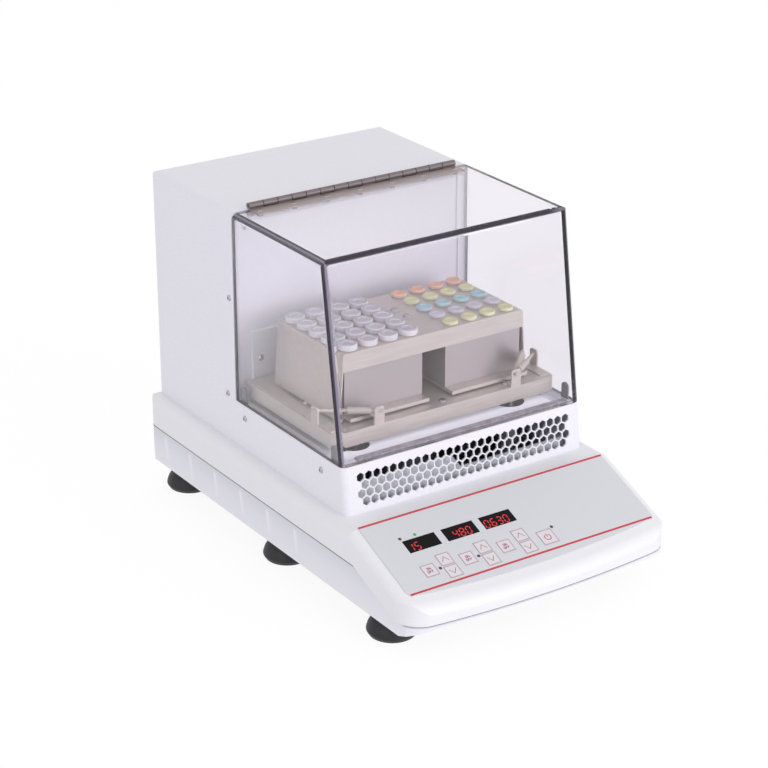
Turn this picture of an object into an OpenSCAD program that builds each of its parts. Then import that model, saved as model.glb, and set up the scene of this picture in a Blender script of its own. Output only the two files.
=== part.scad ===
// Incubating orbital shaker for a laboratory bench.
// Millimetres. X is across, +Y is the rear, the rubber feet stand on Z = 0.

/* [Base] */
// Overall width of the moulded base
base_w = 260; // [240:1:300]
// Overall length of the base, front to rear
base_len = 421; // [405:1:460]
// Radius of the bowed front edge, seen from above
bow_r = 930; // [500:10:2000]
// Radius of the two front corners
front_corner_r = 24; // [16:1:32]
// Radius of the two rear corners
rear_corner_r = 16; // [10:1:24]
// Wall of the moulded shells
base_wall = 3; // [2:0.25:4]
// Height of the flat deck
deck_z = 88; // [84:0.5:94]
// Height of the joint between the two shells along the sides
part_z = 61; // [56:0.5:66]
// Height of that joint at the front
part_front_z = 38; // [35:0.5:42]
// Height of the underside of the tub
tub_z = 24; // [20:0.5:28]
// Radius of the deck's upper edges
deck_edge_r = 9; // [5:0.5:14]
// Radius of the panel's bowed front edge
nose_edge_r = 12; // [8:0.5:16]
// How far the tub's sides lean in towards the bottom
tub_lean = 4; // [2:0.5:8]
// Gap in the joint between the shells
part_gap = 0.7; // [0.2:0.1:1]

/* [Control panel] */
// Slope of the control panel, degrees
panel_tilt = 22; // [18:0.5:26]
// From the housing's front to the fold where the panel starts
fold_gap = 20; // [14:0.5:26]
// Half the width of the printed overlay
overlay_half = 121; // [110:0.5:124]
// Length of the overlay down the slope, at the sides
overlay_len = 77; // [74:0.5:80]
// How much further the overlay's bowed edge reaches in the middle
overlay_bow = 7; // [3:0.5:9]
// Thickness of the overlay
overlay_t = 0.8; // [0.5:0.1:1.2]
// Side of the square arrow and on-off keys
key_w = 12.4; // [11:0.1:13]
// Side of the square power key
power_key_w = 14.8; // [13:0.1:16]
// Travel of a key
key_travel = 0.4; // [0.3:0.05:0.5]
// Clearance round a key
key_gap = 0.3; // [0.2:0.05:0.4]
// Distance between two groups of keys
key_pitch = 36.6; // [34:0.1:38]
// Width of a display window
display_w = 30.4; // [28:0.1:33]
// Height of a display window
display_h = 13.4; // [11:0.1:14]

/* [Housing] */
// Width of the sheet metal housing
house_w = 237; // [225:1:245]
// Length of the housing
house_len = 304; // [296:1:312]
// From the base's rear end to the housing
rear_gap = 4; // [3:0.5:8]
// Length of the closed box at the rear
box_len = 135.5; // [125:0.5:145]
// Height of the low walls above the deck
low_wall_h = 40; // [36:0.5:44]
// Height of the rear box above the deck
house_h = 205; // [190:1:220]
// Lean of the front wall and the lid's front, degrees
front_lean = 8.3; // [5:0.1:12]
// Thickness of the sheet metal
sheet = 1.5; // [1:0.1:2]
// Radius of the housing's bends
bend_r = 6; // [4:0.5:8]
// Width of the ledge on top of the low walls
ledge_w = 10; // [8:0.5:12]
// Across the flats of a vent hole
vent_af = 6.8; // [5:0.1:7]
// Distance between vent holes in a row
vent_pitch = 7.85; // [7.3:0.05:8.3]
// Vent holes in the top row
vent_cols = 27; // [10:1:27]
// Height of the lowest row of vents above the deck
vent_z = 9; // [8:0.5:11]

/* [Lid] */
// Thickness of the clear lid
lid_t = 5; // [3:0.5:6]
// Radius of the lid's corners
lid_r = 5.5; // [5:0.5:8]
// Gap under the closed lid
lid_gap = 0.4; // [0.3:0.1:1]
// Gap between the lid and the rear box
lid_rear_gap = 1.6; // [1.4:0.1:2.5]
// Outer radius of the hinge knuckles
knuckle_r = 2.8; // [2.4:0.1:3.4]
// Radius of the hinge pin
hinge_pin_r = 1.25; // [1:0.05:1.5]
// Running clearance round the hinge pin
pin_fit = 0.05; // [0.02:0.01:0.09]
// Length of a knuckle with its gap
knuckle_pitch = 13.7; // [12:0.1:14]
// Gap between two knuckles
knuckle_gap = 0.6; // [0.3:0.1:1]
// Number of knuckles
knuckles = 15; // [11:2:15]
// Thickness of the hinge leaves
leaf_t = 1; // [0.8:0.1:1.3]
// Width of the hinge leaf on the lid
leaf_w = 15; // [12:0.5:18]

/* [Platform] */
// Width of the tray
tray_w = 216; // [200:1:216]
// Length of the tray
tray_len = 133; // [125:1:135]
// Gap between the tray and the rear box
tray_gap = 5.5; // [4.5:0.5:8]
// Height of the tray's top above the ledge
tray_rise = 18; // [14:0.5:19]
// Height of the tray's turned-down flange
tray_skirt = 13; // [11:0.5:14]
// Thickness of the stainless sheet
tray_t = 1.5; // [1:0.1:2]
// Height of the clamp ears above the tray
ear_h = 15; // [13:0.5:18]
// Width of a clamp ear
ear_w = 9.6; // [8:0.1:11]
// From the tray's corner to the front ears
ear_x = 40; // [32:0.5:40]
// From the tray's corner to the side ears
ear_y = 27.5; // [25:0.5:32]
// Radius of the clamp rods
rod_r = 1.5; // [1.2:0.05:1.8]
// Length of a clamp lever
lever_len = 17; // [14:0.5:18]
// Width of a clamp lever
lever_w = 22; // [14:0.5:24]

/* [Rack] */
// Width of the rack at its top
rack_w = 178; // [172:1:182]
// Length of the rack
rack_len = 92; // [90:1:94]
// Height of the rack's top above the tray
rack_h = 57; // [54:1:64]
// Height of the rack's front and rear flange
rack_flange = 15.5; // [10:0.5:20]
// Thickness of the rack's sheet
rack_t = 1.2; // [1:0.1:1.5]
// Radius of the rack's upper bends
rack_bend_r = 2.4; // [2:0.1:3]
// How far the rack's sides flare out at the bottom
rack_flare = 4; // [1:0.5:4]
// Width of a tube block
block_w = 75.5; // [72:0.5:78]
// Gap between the two tube blocks
block_gap = 23; // [18:0.5:26]
// How far the rack's base plate reaches in front of the tube blocks
rack_lip = 9; // [4:0.5:12]
// Thickness of the rack's base plate
plate_t = 3; // [2:0.5:4]
// Distance across between the small tubes
small_pitch_x = 18.7; // [17:0.1:19]
// Distance along between the small tubes
small_pitch_y = 18.6; // [16:0.1:19]
// Radius of a small tube's cap
small_cap_r = 6.5; // [5.5:0.1:7]
// Distance across between the large tubes
large_pitch_x = 19.4; // [18:0.1:19.6]
// Distance along between the large tubes
large_pitch_y = 18; // [17.4:0.1:18.2]
// Radius of a large tube's cap
large_cap_r = 8; // [7:0.1:8.4]
// Tubes across each block
tube_cols = 4; // [2:1:4]
// Tubes along each block
tube_rows = 5; // [2:1:5]

/* [Drive] */
// Radius of the orbit
orbit_r = 1.5; // [1:0.1:1.8]
// Height of the chassis plate's top
chassis_z = 61; // [58:0.5:63]
// Thickness of the chassis plate
chassis_t = 3; // [2:0.5:4]
// Radius of the main shaft
shaft_r = 5; // [4:0.25:5.5]
// Radius of the crank pin
crank_pin_r = 4; // [3.5:0.25:4.5]
// Radius of the driven pulley
driven_r = 34; // [28:1:38]
// Radius of the motor pulley
driver_r = 17; // [12:1:20]
// Distance from the main shaft to the motor
motor_x = 72; // [66:1:78]
// Radius of the motor
motor_r = 26; // [22:1:28]
// Half the spacing of the guide cranks across
guide_x = 78; // [70:1:82]
// Half the spacing of the guide cranks along
guide_y = 44; // [40:1:46]
// Radius of a guide crank's shaft and pin
guide_r = 3; // [2.5:0.25:3.5]
// Running clearance of the shafts
run_fit = 0.05; // [0.02:0.01:0.08]

/* [Feet] */
// Radius of a rubber foot
foot_r = 21; // [17:0.5:23]
// From the middle of the base to the feet
foot_x = 102; // [90:1:104]
// From the base's rear end to the rear feet
foot_rear = 25.5; // [24:0.5:35]
// From the rear feet to the middle feet
foot_step = 166; // [150:1:175]
// From the rear feet to the front feet
foot_span = 323; // [300:1:330]

/* [Hidden] */
$fn = 48;
eps = 0.01;
white = "#E8E6EC";
steel = "#BFB7B3";
dark = "#2B2B30";

y_back = base_len / 2;
y_front = -base_len / 2;
house_y1 = y_back - rear_gap;
house_y0 = house_y1 - house_len;
box_y = house_y1 - box_len;
fold_y = house_y0 - fold_gap;
ledge_z = deck_z + low_wall_h;
top_z = deck_z + house_h;
in_w = house_w - 2 * sheet;
part_y1 = fold_y - 6;
part_y2 = y_front + 29;
panel_len = (fold_y - y_front) / cos(panel_tilt);

tray_z = ledge_z + tray_rise;
tray_y1 = box_y - tray_gap;
tray_y0 = tray_y1 - tray_len;
cy = (tray_y0 + tray_y1) / 2;
floor_z = ledge_z - 6;
rack_top = tray_z + rack_h;
block_x = (block_gap + block_w) / 2;

hinge_y = box_y - 0.5;
hinge_z = top_z + knuckle_r + 0.3;
lid_y1 = box_y - lid_rear_gap;

function arc(c, r, a0, a1, n = 8) =
    [for (i = [0:n]) c + r * [cos(a0 + (a1 - a0) * i / n), sin(a0 + (a1 - a0) * i / n)]];

// Outline of the base seen from above, set in by t
bow_c = [0, y_front + bow_r];
corner_x = base_w / 2 - front_corner_r;
corner_y = bow_c[1] - sqrt(pow(bow_r - front_corner_r, 2) - pow(corner_x, 2));
corner_a = atan2(corner_y - bow_c[1], corner_x);
back_x = base_w / 2 - rear_corner_r;
back_y = y_back - rear_corner_r;
module base_plan(t) {
    for (side = [-1, 1]) {
        translate([side * corner_x, corner_y]) circle(front_corner_r - t);
        translate([side * back_x, back_y]) circle(rear_corner_r - t);
    }
    translate([-base_w / 2 + t, corner_y]) square([base_w - 2 * t, back_y - corner_y]);
    translate([-back_x, corner_y]) square([2 * back_x, y_back - t - corner_y]);
    intersection() {
        translate(bow_c) circle(bow_r - t, $fn = 1440);
        polygon([[-corner_x, corner_y], bow_c + (bow_r + 40) * [-cos(corner_a), sin(corner_a)],
            bow_c + (bow_r + 40) * [cos(corner_a), sin(corner_a)], [corner_x, corner_y]]);
    }
}

// Polygon whose convex corners are rounded, each by its own radius
function unit(v) = v / norm(v);
function corner(pts, i, r) = let (n = len(pts), u = unit(pts[(i + n - 1) % n] - pts[i]),
    v = unit(pts[(i + 1) % n] - pts[i]), h = acos(u * v) / 2)
    [pts[i] + u * r / tan(h), pts[i] + v * r / tan(h), pts[i] + unit(u + v) * r / sin(h)];

module rounded(pts, radii) {
    polygon([for (i = [0:len(pts) - 1]) let (c = corner(pts, i, radii[i]))
        each radii[i] > 0 ? [c[0], c[1]] : [pts[i]]]);
    for (i = [0:len(pts) - 1]) if (radii[i] > 0) translate(corner(pts, i, radii[i])[2]) circle(radii[i]);
}

// Side view of the deck's lower boundary, following the joint between the shells
function deck_side(t) = let (low = t > 0 ? part_front_z - 9 : part_front_z) concat(
    [[y_back + 5, deck_z + 9], [y_front - 5, deck_z + 9], [y_front - 5, low]],
    t > 0 ? [[y_back + 5, low]] : [[part_y2, part_front_z], [part_y1, part_z], [y_back + 5, part_z]]);

// Rounded bar section: half-width w, top at z, bottom at z0
module bar_top(w, z0, z, r) {
    rounded([[-w, z0], [w, z0], [w, z], [-w, z]], [0, 0, r, r]);
}

module along_x(w) {
    translate([-w / 2, 0, 0]) rotate([90, 0, 90]) linear_extrude(w) children();
}

module along_y(y0, y1) {
    translate([0, y1, 0]) rotate([90, 0, 0]) linear_extrude(y1 - y0) children();
}

// Places its children on the panel: x across, s down the slope, z out of the surface
module on_panel(x = 0, s = 0) {
    translate([0, fold_y, deck_z]) rotate([panel_tilt, 0, 0]) translate([x, -s, 0]) children();
}

// Disc in the panel's plane whose rounded rim makes the bowed front edge
module nose(t) {
    r = nose_edge_r - t;
    rim = [bow_r * cos(panel_tilt) - nose_edge_r * tan(45 - panel_tilt / 2), -nose_edge_r];
    a = panel_tilt + 12;
    edge = rim + r * [cos(a), sin(a)];
    deep = edge + 320 * [sin(a), -cos(a)];
    on_panel(0, panel_len - bow_r * cos(panel_tilt)) rotate_extrude($fn = 1440) {
        translate([0, deep[1]]) square([rim[0], -t - deep[1]]);
        translate(rim) circle(r);
        polygon([[rim[0], deep[1]], deep, edge, rim]);
    }
}

module deck_solid(t) {
    w = base_w / 2 - t;
    r = max(deck_edge_r - t, 0.5);
    intersection() {
        translate([0, 0, tub_z]) linear_extrude(deck_z) base_plan(t);
        along_x(base_w + 10) polygon(deck_side(t));
        along_y(y_front - 5, y_back + 5) bar_top(w + 0.2, 0, deck_z - t, r);
        along_x(base_w + 10) rounded([[y_front - 9, 0], [y_back - t, 0], [y_back - t, deck_z - t + 0.1],
            [y_front - 9, deck_z - t + 0.1]], [0, 0, r, 0]);
        on_panel() along_y(-panel_len - 20, base_len + 40) bar_top(w + 0.4, -3 * house_h, 0.1 - t, r);
        nose(t);
    }
}

module deck_shell() {
    color(white) difference() {
        deck_solid(0);
        deck_solid(base_wall);
        // Opening under the housing
        translate([-house_w / 2 + 14, house_y0 + 14, deck_z - base_wall - 1])
            cube([house_w - 28, house_len - 28, base_wall + 2]);
        for (i = [0:2]) on_panel(display_x(i), display_s)
            cube([display_w + 1, display_h + 1, 3 * base_wall], center = true);
        for (k = KEYS) on_panel(k[0], k[1])
            cube([k[2], k[2], 3 * base_wall], center = true);
    }
}

module tub_solid(t) {
    w = base_w / 2 - t;
    lift = t > 0 ? 6 : 0;
    intersection() {
        translate([0, 0, tub_z + t]) linear_extrude(part_z) base_plan(t);
        along_x(base_w + 10) polygon([
            [y_back - t, part_z - part_gap + lift], [part_y1, part_z - part_gap + lift],
            [part_y2, part_front_z - part_gap + lift], [y_front + t, part_front_z - part_gap + lift],
            [y_front + t, part_front_z - 2 + t], [part_y2, tub_z + t],
            [y_back - tub_lean - t, tub_z + t]]);
        along_y(y_front - 5, y_back + 5) polygon([[-w - t * 0.02, part_z + 8], [-w + tub_lean, tub_z],
            [w - tub_lean, tub_z], [w, part_z + 8]]);
    }
}

flutes = 6;
flute_step = 43;

module base_tub() {
    color(white) difference() {
        union() {
            difference() {
                tub_solid(0);
                tub_solid(base_wall);
                // Upright creases moulded in both sides
                for (side = [-1, 1], i = [0:flutes - 1])
                    translate([side * (base_w / 2 + 2.3), y_back - 30 - i * flute_step, tub_z + 12])
                        rotate([0, side * 6, 0]) cylinder(r = 4, h = 20);
            }
            for (p = STANDOFFS) translate([p[0], p[1], tub_z])
                cylinder(r = 6, h = chassis_z - chassis_t - tub_z);
            for (p = FEET) translate([p[0], p[1], tub_z]) cylinder(r = 9, h = base_wall + 3);
        }
        for (p = FEET) translate([p[0], p[1], tub_z - 1]) cylinder(r = 4, h = base_wall + 5);
    }
}

FEET = [for (side = [-1, 1], d = [0, foot_step, foot_span])
    [side * foot_x, y_back - foot_rear - d]];
STANDOFFS = [for (sx = [-1, 1], sy = [-1, 1]) [sx * 92, cy + sy * 62]];

module rubber_feet() {
    color(dark) for (p = FEET) translate([p[0], p[1], 0]) {
        difference() {
            rotate_extrude($fn = 64) polygon(concat([[0, 0], [foot_r - 2, 0]],
                arc([foot_r - 3, 4], 3, -50, 20, 4),
                arc([4, 2], foot_r - 4, 12, 66, 8),
                [[9, tub_z - 0.2], [0, tub_z - 0.2]]));
            translate([0, 0, -1]) cylinder(r = foot_r - 7, h = 2.5);
        }
        cylinder(r = 3.8, h = tub_z + base_wall);
    }
}

// Sheet metal housing: a tall box at the rear and low walls round the chamber
function house_side(t) = let (
    y1 = house_y1 - t, zt = top_z - t, zl = ledge_z - t,
    lean = tan(front_lean), yf = house_y0 + t / cos(front_lean),
    low = t > 0 ? deck_z - 5 : deck_z)
    [[y1, low], [y1, zt], [box_y + t, zt], [box_y + t, zl], [yf + (zl - deck_z) * lean, zl],
    [yf + (low - deck_z) * lean, low]];

module house_solid(t) {
    w = house_w / 2 - t;
    r = max(bend_r - t, 0.5);
    intersection() {
        along_x(house_w + 10) rounded(house_side(t), [0, r, 0, 0, 0, 0]);
        along_y(house_y0 - 30, house_y1 + 10) bar_top(w, 0, top_z - t, r);
        // Upright bends at the four corners
        linear_extrude(top_z + 10) rounded([[w, house_y0 - 20], [w, house_y1 - t], [-w, house_y1 - t],
            [-w, house_y0 - 20]], [r, r, r, r]);
        translate([0, house_y0, deck_z]) rotate([-front_lean, 0, 0]) translate([0, 0, -60])
            linear_extrude(2 * top_z) rounded([[w, t], [w, house_len + 90], [-w, house_len + 90], [-w, t]],
                [r, 0, 0, r]);
    }
}

module hex_grid() {
    rise = vent_pitch * sin(60);
    for (row = [0:3], i = [0:vent_cols - 1 - (row % 2 == 0 ? 1 : 0)])
        translate([(i - (vent_cols - 1) / 2) * vent_pitch + (row % 2 == 0 ? vent_pitch / 2 : 0),
            vent_z + row * rise])
            rotate(30) circle(r = vent_af / 2 / cos(30), $fn = 6);
}

SIDE_SCREWS = [[house_y0 + 175, deck_z + 129.5], [house_y0 + 181, deck_z + 42],
    [house_y0 + 154, deck_z + 28.5], [house_y0 + 36.5, deck_z + 27.7]];

module housing_cover() {
    color(white) difference() {
        house_solid(0);
        house_solid(sheet);
        // Way into the chamber, leaving a ledge along the low walls
        translate([-house_w / 2 + sheet + ledge_w, chamber_y0, ledge_z - 5])
            cube([house_w - 2 * (sheet + ledge_w), box_y - chamber_y0 + eps, 10]);
        // Front of the rear box, closed by the bulkhead
        translate([-house_w / 2 + sheet + ledge_w, box_y - 1, ledge_z - 5])
            cube([house_w - 2 * (sheet + ledge_w), sheet + 2, top_z - ledge_z - 8]);
        // Rear, closed by the rear panel
        translate([-house_w / 2 + 14, house_y1 - sheet - 1, deck_z - 1])
            cube([house_w - 28, sheet + 2, house_h - 13]);
        rear_holes();
        translate([0, house_y0 + 8, deck_z]) rotate([90, 0, 0]) linear_extrude(12) hex_grid();
        for (side = [-1, 1], s = SIDE_SCREWS) translate([side * (house_w / 2 - 5), s[0], s[1]])
            rotate([0, side * 90, 0]) cylinder(r = 1.6, h = 10);
    }
}

chamber_y0 = house_y0 + low_wall_h * tan(front_lean) + 14;

module rear_holes() {
    for (side = [-1, 1], z = [deck_z + 20, top_z - 20])
        translate([side * rear_screw_x, house_y1 + 5, z]) rotate([90, 0, 0]) cylinder(r = 1.6, h = 15);
}

rear_screw_x = house_w / 2 - 10;

// Low domed screw head with a hexagonal socket
module socket_head(r, h) {
    difference() {
        intersection() {
            cylinder(r = r, h = h);
            translate([0, 0, h - r * 1.3]) sphere(r = r * 1.3);
        }
        translate([0, 0, h - 0.7]) cylinder(r = 1.15, h = 2, $fn = 6);
    }
}

module housing_screws() {
    color("#C9C9CE") {
        for (side = [-1, 1], s = SIDE_SCREWS)
            translate([side * (house_w / 2 - sheet - 4), s[0], s[1]]) rotate([0, side * 90, 0]) {
                cylinder(r = 1.5, h = sheet + 4.1);
                translate([0, 0, sheet + 4.1]) socket_head(2.7, 1.4);
            }
        for (side = [-1, 1], z = [deck_z + 20, top_z - 20])
            translate([side * rear_screw_x, house_y1 - sheet - 5, z]) rotate([-90, 0, 0]) {
                cylinder(r = 1.5, h = sheet + 5.1);
                translate([0, 0, sheet + 5.1]) socket_head(2.7, 1.4);
            }
        // Two through the air baffle into the bulkhead
        grip = sheet + bulkhead_t;
        for (side = [-1, 1]) translate([side * baffle_screw_x, box_y + grip + 1.6, baffle_screw_z])
            rotate([90, 0, 0]) {
                cylinder(r = 1.5, h = grip + 4.1);
                translate([0, 0, grip + 4.1]) socket_head(3, 1.3);
            }
    }
}

// Rear panel with the fan's outlet, the inlet and the rear vents
inlet_x = -70;
inlet_z = deck_z + 34;

module rear_panel() {
    color(white) difference() {
        translate([-in_w / 2 + bend_r - 1, house_y1 - 2 * sheet - 0.1, deck_z + 1])
            cube([in_w - 2 * bend_r + 2, sheet, house_h - sheet - bend_r - 1]);
        translate([inlet_x - 14, house_y1 - 10, inlet_z - 10]) cube([28, 20, 20]);
        for (i = [0:8], j = [0:4])
            translate([20 + i * 9, house_y1 + 5, deck_z + 24 + j * 9]) rotate([90, 0, 0])
                cylinder(r = 2.6, h = 15, $fn = 24);
        rear_holes();
    }
}

module power_inlet() {
    y = house_y1 - sheet - 0.1;
    color(dark) difference() {
        union() {
            translate([inlet_x - 13.6, y - 22, inlet_z - 9.6]) cube([27.2, 24, 19.2]);
            translate([inlet_x - 24, y + 0.1, inlet_z - 12]) cube([48, 2.4, 24]);
        }
        translate([inlet_x - 11.5, y - 14, inlet_z - 8]) cube([23, 20, 16]);
        for (side = [-1, 1]) translate([inlet_x + side * 20, y + 6, inlet_z]) rotate([90, 0, 0])
            cylinder(r = 1.7, h = 8);
    }
    color("#C8B070") for (i = [-1:1])
        translate([inlet_x + i * 7 - 1, y - 14.5, inlet_z - 2 + (i == 0 ? 3 : 0)]) cube([2, 12, 4]);
}

// White pan that closes the chamber's floor round the drive
module chamber_floor() {
    x = in_w / 2 - ledge_w;
    y1 = box_y - 1;
    color("#F2F1F5") difference() {
        union() {
            translate([-x - 1.4, chamber_y0 - 1.4, floor_z - 1.2])
                cube([2 * x + 2.8, y1 - chamber_y0 + 1.4, ledge_z - sheet - 0.1 - floor_z + 1.2]);
            // Turned-out flange under the ledge
            translate([-x - 7, chamber_y0 - 7, ledge_z - sheet - 1.3])
                cube([2 * x + 14, y1 - chamber_y0 + 7, 1.2]);
        }
        translate([-x - 0.2, chamber_y0 - 0.2, floor_z]) cube([2 * x + 0.4, box_y - chamber_y0, 20]);
        translate([0, cy, floor_z - 3]) cylinder(r = 26, h = 6);
        for (g = GUIDES) translate([g[0], g[1], floor_z - 3]) cylinder(r = 13, h = 6);
    }
}

bulkhead_t = 1.5;

module bulkhead() {
    x = house_w / 2 - sheet - 3;
    color(white) difference() {
        translate([-x, box_y + sheet + 0.1, ledge_z - 30])
            cube([2 * x, bulkhead_t, top_z - ledge_z + 22]);
        // Behind the air baffle: the fan's opening and the heater's window
        translate([fan_x, box_y, fan_z]) rotate([-90, 0, 0]) cylinder(r = fan_half - 2.5, h = 8);
        translate([-fan_x - 36, box_y, ledge_z + 8]) cube([72, 8, 22]);
        for (side = [-1, 1]) translate([side * baffle_screw_x, box_y, baffle_screw_z]) rotate([-90, 0, 0])
            cylinder(r = 1.55, h = 8);
    }
}

fan_x = -50;
fan_z = ledge_z + 26;
fan_half = 30;
baffle_z = ledge_z + 58;
baffle_screw_x = 91.5;
baffle_screw_z = ledge_z + 34;

// Sheet cover over the heater's outlet, in the chamber behind the tray
module air_baffle() {
    x = 99;
    y = box_y - 2.4;
    color("#F2F1F5") difference() {
        union() {
            translate([-x, y, floor_z + 0.2]) cube([2 * x, 1.2, baffle_z - floor_z]);
            translate([-x, y, baffle_z - 1]) cube([2 * x, box_y + sheet - y, 1.2]);
            for (side = [-1, 1]) translate([side * (x - 0.6) - 0.6, y, floor_z + 0.2])
                cube([1.2, box_y + sheet - y, baffle_z - floor_z]);
        }
        for (i = [-6:6]) translate([i * 14.5 - 5, y - 1, floor_z + 8]) cube([10, 4, 3]);
        for (side = [-1, 1]) translate([side * baffle_screw_x, y - 2, baffle_screw_z]) rotate([-90, 0, 0])
            cylinder(r = 1.6, h = 5);
    }
}

// Piano hinge
hinge_half = knuckles * knuckle_pitch / 2;
function knuckle_x(i) = -hinge_half + i * knuckle_pitch;

module knuckle(i) {
    translate([knuckle_x(i) + knuckle_gap / 2, hinge_y, hinge_z]) rotate([0, 90, 0]) difference() {
        cylinder(r = knuckle_r, h = knuckle_pitch - knuckle_gap);
        translate([0, 0, -1]) cylinder(r = hinge_pin_r + pin_fit, h = knuckle_pitch + 2);
    }
}

module hinge_pin() {
    color("#9E9290") translate([-hinge_half, hinge_y, hinge_z]) rotate([0, 90, 0])
        cylinder(r = hinge_pin_r, h = 2 * hinge_half);
}

module hinge_bore() {
    translate([-hinge_half - 1, hinge_y, hinge_z]) rotate([0, 90, 0])
        cylinder(r = hinge_pin_r + pin_fit, h = 2 * hinge_half + 2);
}

module hinge_leaf_case() {
    y = box_y - leaf_t - 0.1;
    color("#9E9290") difference() {
        union() {
            for (i = [1:2:knuckles - 2]) {
                knuckle(i);
                translate([knuckle_x(i) + knuckle_gap / 2, y, top_z - 1])
                    cube([knuckle_pitch - knuckle_gap, leaf_t, 1 + knuckle_r]);
            }
            translate([-hinge_half, y, top_z - 17]) cube([2 * hinge_half, leaf_t, 16.7]);
        }
        hinge_bore();
    }
}

module hinge_leaf_lid() {
    y0 = hinge_y - leaf_w - 1;
    neck = hinge_y - knuckle_r - 0.4;
    color("#9E9290") difference() {
        union() {
            for (i = [0:2:knuckles - 1]) {
                knuckle(i);
                translate([knuckle_x(i) + knuckle_gap / 2, neck - 1, top_z])
                    cube([knuckle_pitch - knuckle_gap, hinge_y - neck + 1, leaf_t]);
            }
            translate([-hinge_half, y0, top_z]) cube([2 * hinge_half, neck - y0, leaf_t]);
        }
        hinge_bore();
        for (i = [0:hinge_screw_n - 1]) translate([hinge_screw_x(i), hinge_y - leaf_w * 0.62, top_z - 1])
            cylinder(r = 1.6, h = 4);
    }
}

hinge_screw_n = 7;
function hinge_screw_x(i) = (i / (hinge_screw_n - 1) - 0.5) * (2 * hinge_half - 12);

module hinge_screws() {
    color("#D8D4D2") for (i = [0:hinge_screw_n - 1])
        translate([hinge_screw_x(i), hinge_y - leaf_w * 0.62, top_z - lid_t - 1.2]) {
            cylinder(r = 1.5, h = lid_t + leaf_t + 1.25);
            translate([0, 0, lid_t + leaf_t + 1.25]) cylinder(r1 = 2.4, r2 = 1.8, h = 0.6);
            translate([0, 0, -0.9]) cylinder(r = 2.8, h = 2, $fn = 6);
        }
}

// Clear lid: open below and at the back
function lid_side(t) = let (
    lean = tan(front_lean), zt = top_z - t, yf = house_y0 + t / cos(front_lean),
    y1 = lid_y1 + (t > 0 ? 5 : 0), zb = ledge_z + lid_gap - (t > 0 ? 5 : 0))
    [[y1, zb], [y1, zt], [yf + (zt - deck_z) * lean, zt], [yf + (zb - deck_z) * lean, zb]];

module lid_solid(t) {
    w = house_w / 2 - t;
    r = max(lid_r - t, 0.5);
    intersection() {
        along_x(house_w + 10) rounded(lid_side(t), [0, 0, r, 0]);
        along_y(house_y0 - 30, box_y + 10) bar_top(w, 0, top_z - t, r);
        translate([0, house_y0, deck_z]) rotate([-front_lean, 0, 0]) translate([0, 0, -20])
            linear_extrude(2 * house_h) rounded([[w, t], [w, house_len], [-w, house_len], [-w, t]],
                [r, 0, 0, r]);
    }
}

module lid_shell() {
    color([0.8, 0.78, 0.85, 0.35]) difference() {
        lid_solid(0);
        lid_solid(lid_t);
        for (i = [0:hinge_screw_n - 1]) translate([hinge_screw_x(i), hinge_y - leaf_w * 0.62, top_z - 10])
            cylinder(r = 1.6, h = 12);
    }
}

sill_y = house_y0 + low_wall_h * tan(front_lean) + lid_t + 0.8;

module gasket_strip() {
    color("#8C8890") {
        difference() {
            translate([-100, sill_y, ledge_z]) cube([208, 6, 2]);
            translate([-96, sill_y + 3, ledge_z - 1]) cylinder(r = 1.6, h = 5);
        }
    }
    color("white") translate([-96, sill_y + 3, ledge_z]) {
        cylinder(r = 1.5, h = 2.1);
        translate([0, 0, 2.1]) cylinder(r1 = 2.6, r2 = 2, h = 0.8);
    }
}

module lid_locators() {
    w = house_w / 2 - lid_t - 0.2;
    color("#77757C") for (side = [-1, 1], y = [chamber_y0 + 1, box_y - 9])
        translate([side * w - (side > 0 ? 1.5 : 0), y, ledge_z]) {
            rotate([90, 0, 90]) linear_extrude(1.5) bar_top(4, 0, 14, 3.6);
        }
}

// Control panel
display_s = 32;
function display_x(i) = -80.4 + i * key_pitch;
on_x = -90.7;
arrow_x = -72.8;
KEYS = [
    [on_x, 59.4, key_w], [arrow_x, 53.4, key_w], [arrow_x, 66.6, key_w],
    [on_x + key_pitch, 59.4, key_w], [arrow_x + key_pitch, 53.4, key_w],
    [arrow_x + key_pitch, 66.6, key_w],
    [on_x + 2 * key_pitch, 59.4, key_w], [arrow_x + 2 * key_pitch, 53.4, key_w],
    [arrow_x + 2 * key_pitch, 66.6, key_w],
    [21.3, 63.2, power_key_w]];
LAMPS = [[-95.4, 22.4], [-81.3, 22.4], [-81.3, 60.4], [-81.3 + key_pitch, 60.4], [31, 55]];
lamp_r = 1.4;
board_d = 9;
switch_h = 3.4;
BOARD_X = [-112, 52];
BOARD_S = [15, 77];

module overlay_outline() {
    r = 5;
    bow = (pow(overlay_half, 2) + pow(overlay_bow, 2)) / (2 * overlay_bow);
    a = asin((overlay_half - r) / bow);
    polygon(concat([[overlay_half, -1], [-overlay_half, -1]],
        arc([-overlay_half + r, -overlay_len + r], r, 180, 260, 5),
        [for (i = [1:15]) let (b = -90 - a + 2 * a * i / 16)
            [0, -overlay_len - overlay_bow + bow] + bow * [cos(b), sin(b)]],
        arc([overlay_half - r, -overlay_len + r], r, 280, 360, 5)));
}

module control_overlay() {
    color("#D9DBE0") difference() {
        on_panel() translate([0, 0, 0.05]) linear_extrude(overlay_t) overlay_outline();
        for (i = [0:2]) on_panel(display_x(i), display_s)
            cube([display_w, display_h, 8], center = true);
        for (k = KEYS) on_panel(k[0], k[1]) cube([k[2], k[2], 8], center = true);
        for (p = LAMPS) on_panel(p[0], p[1]) translate([0, 0, -3]) cylinder(r = lamp_r + 0.1, h = 8);
    }
}

module display_windows() {
    color("#1A1013") for (i = [0:2]) on_panel(display_x(i), display_s)
        translate([0, 0, (overlay_t - board_d + 1.6) / 2])
            cube([display_w - 0.4, display_h - 0.4, board_d + overlay_t - 1.6 - 0.1], center = true);
}

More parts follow.
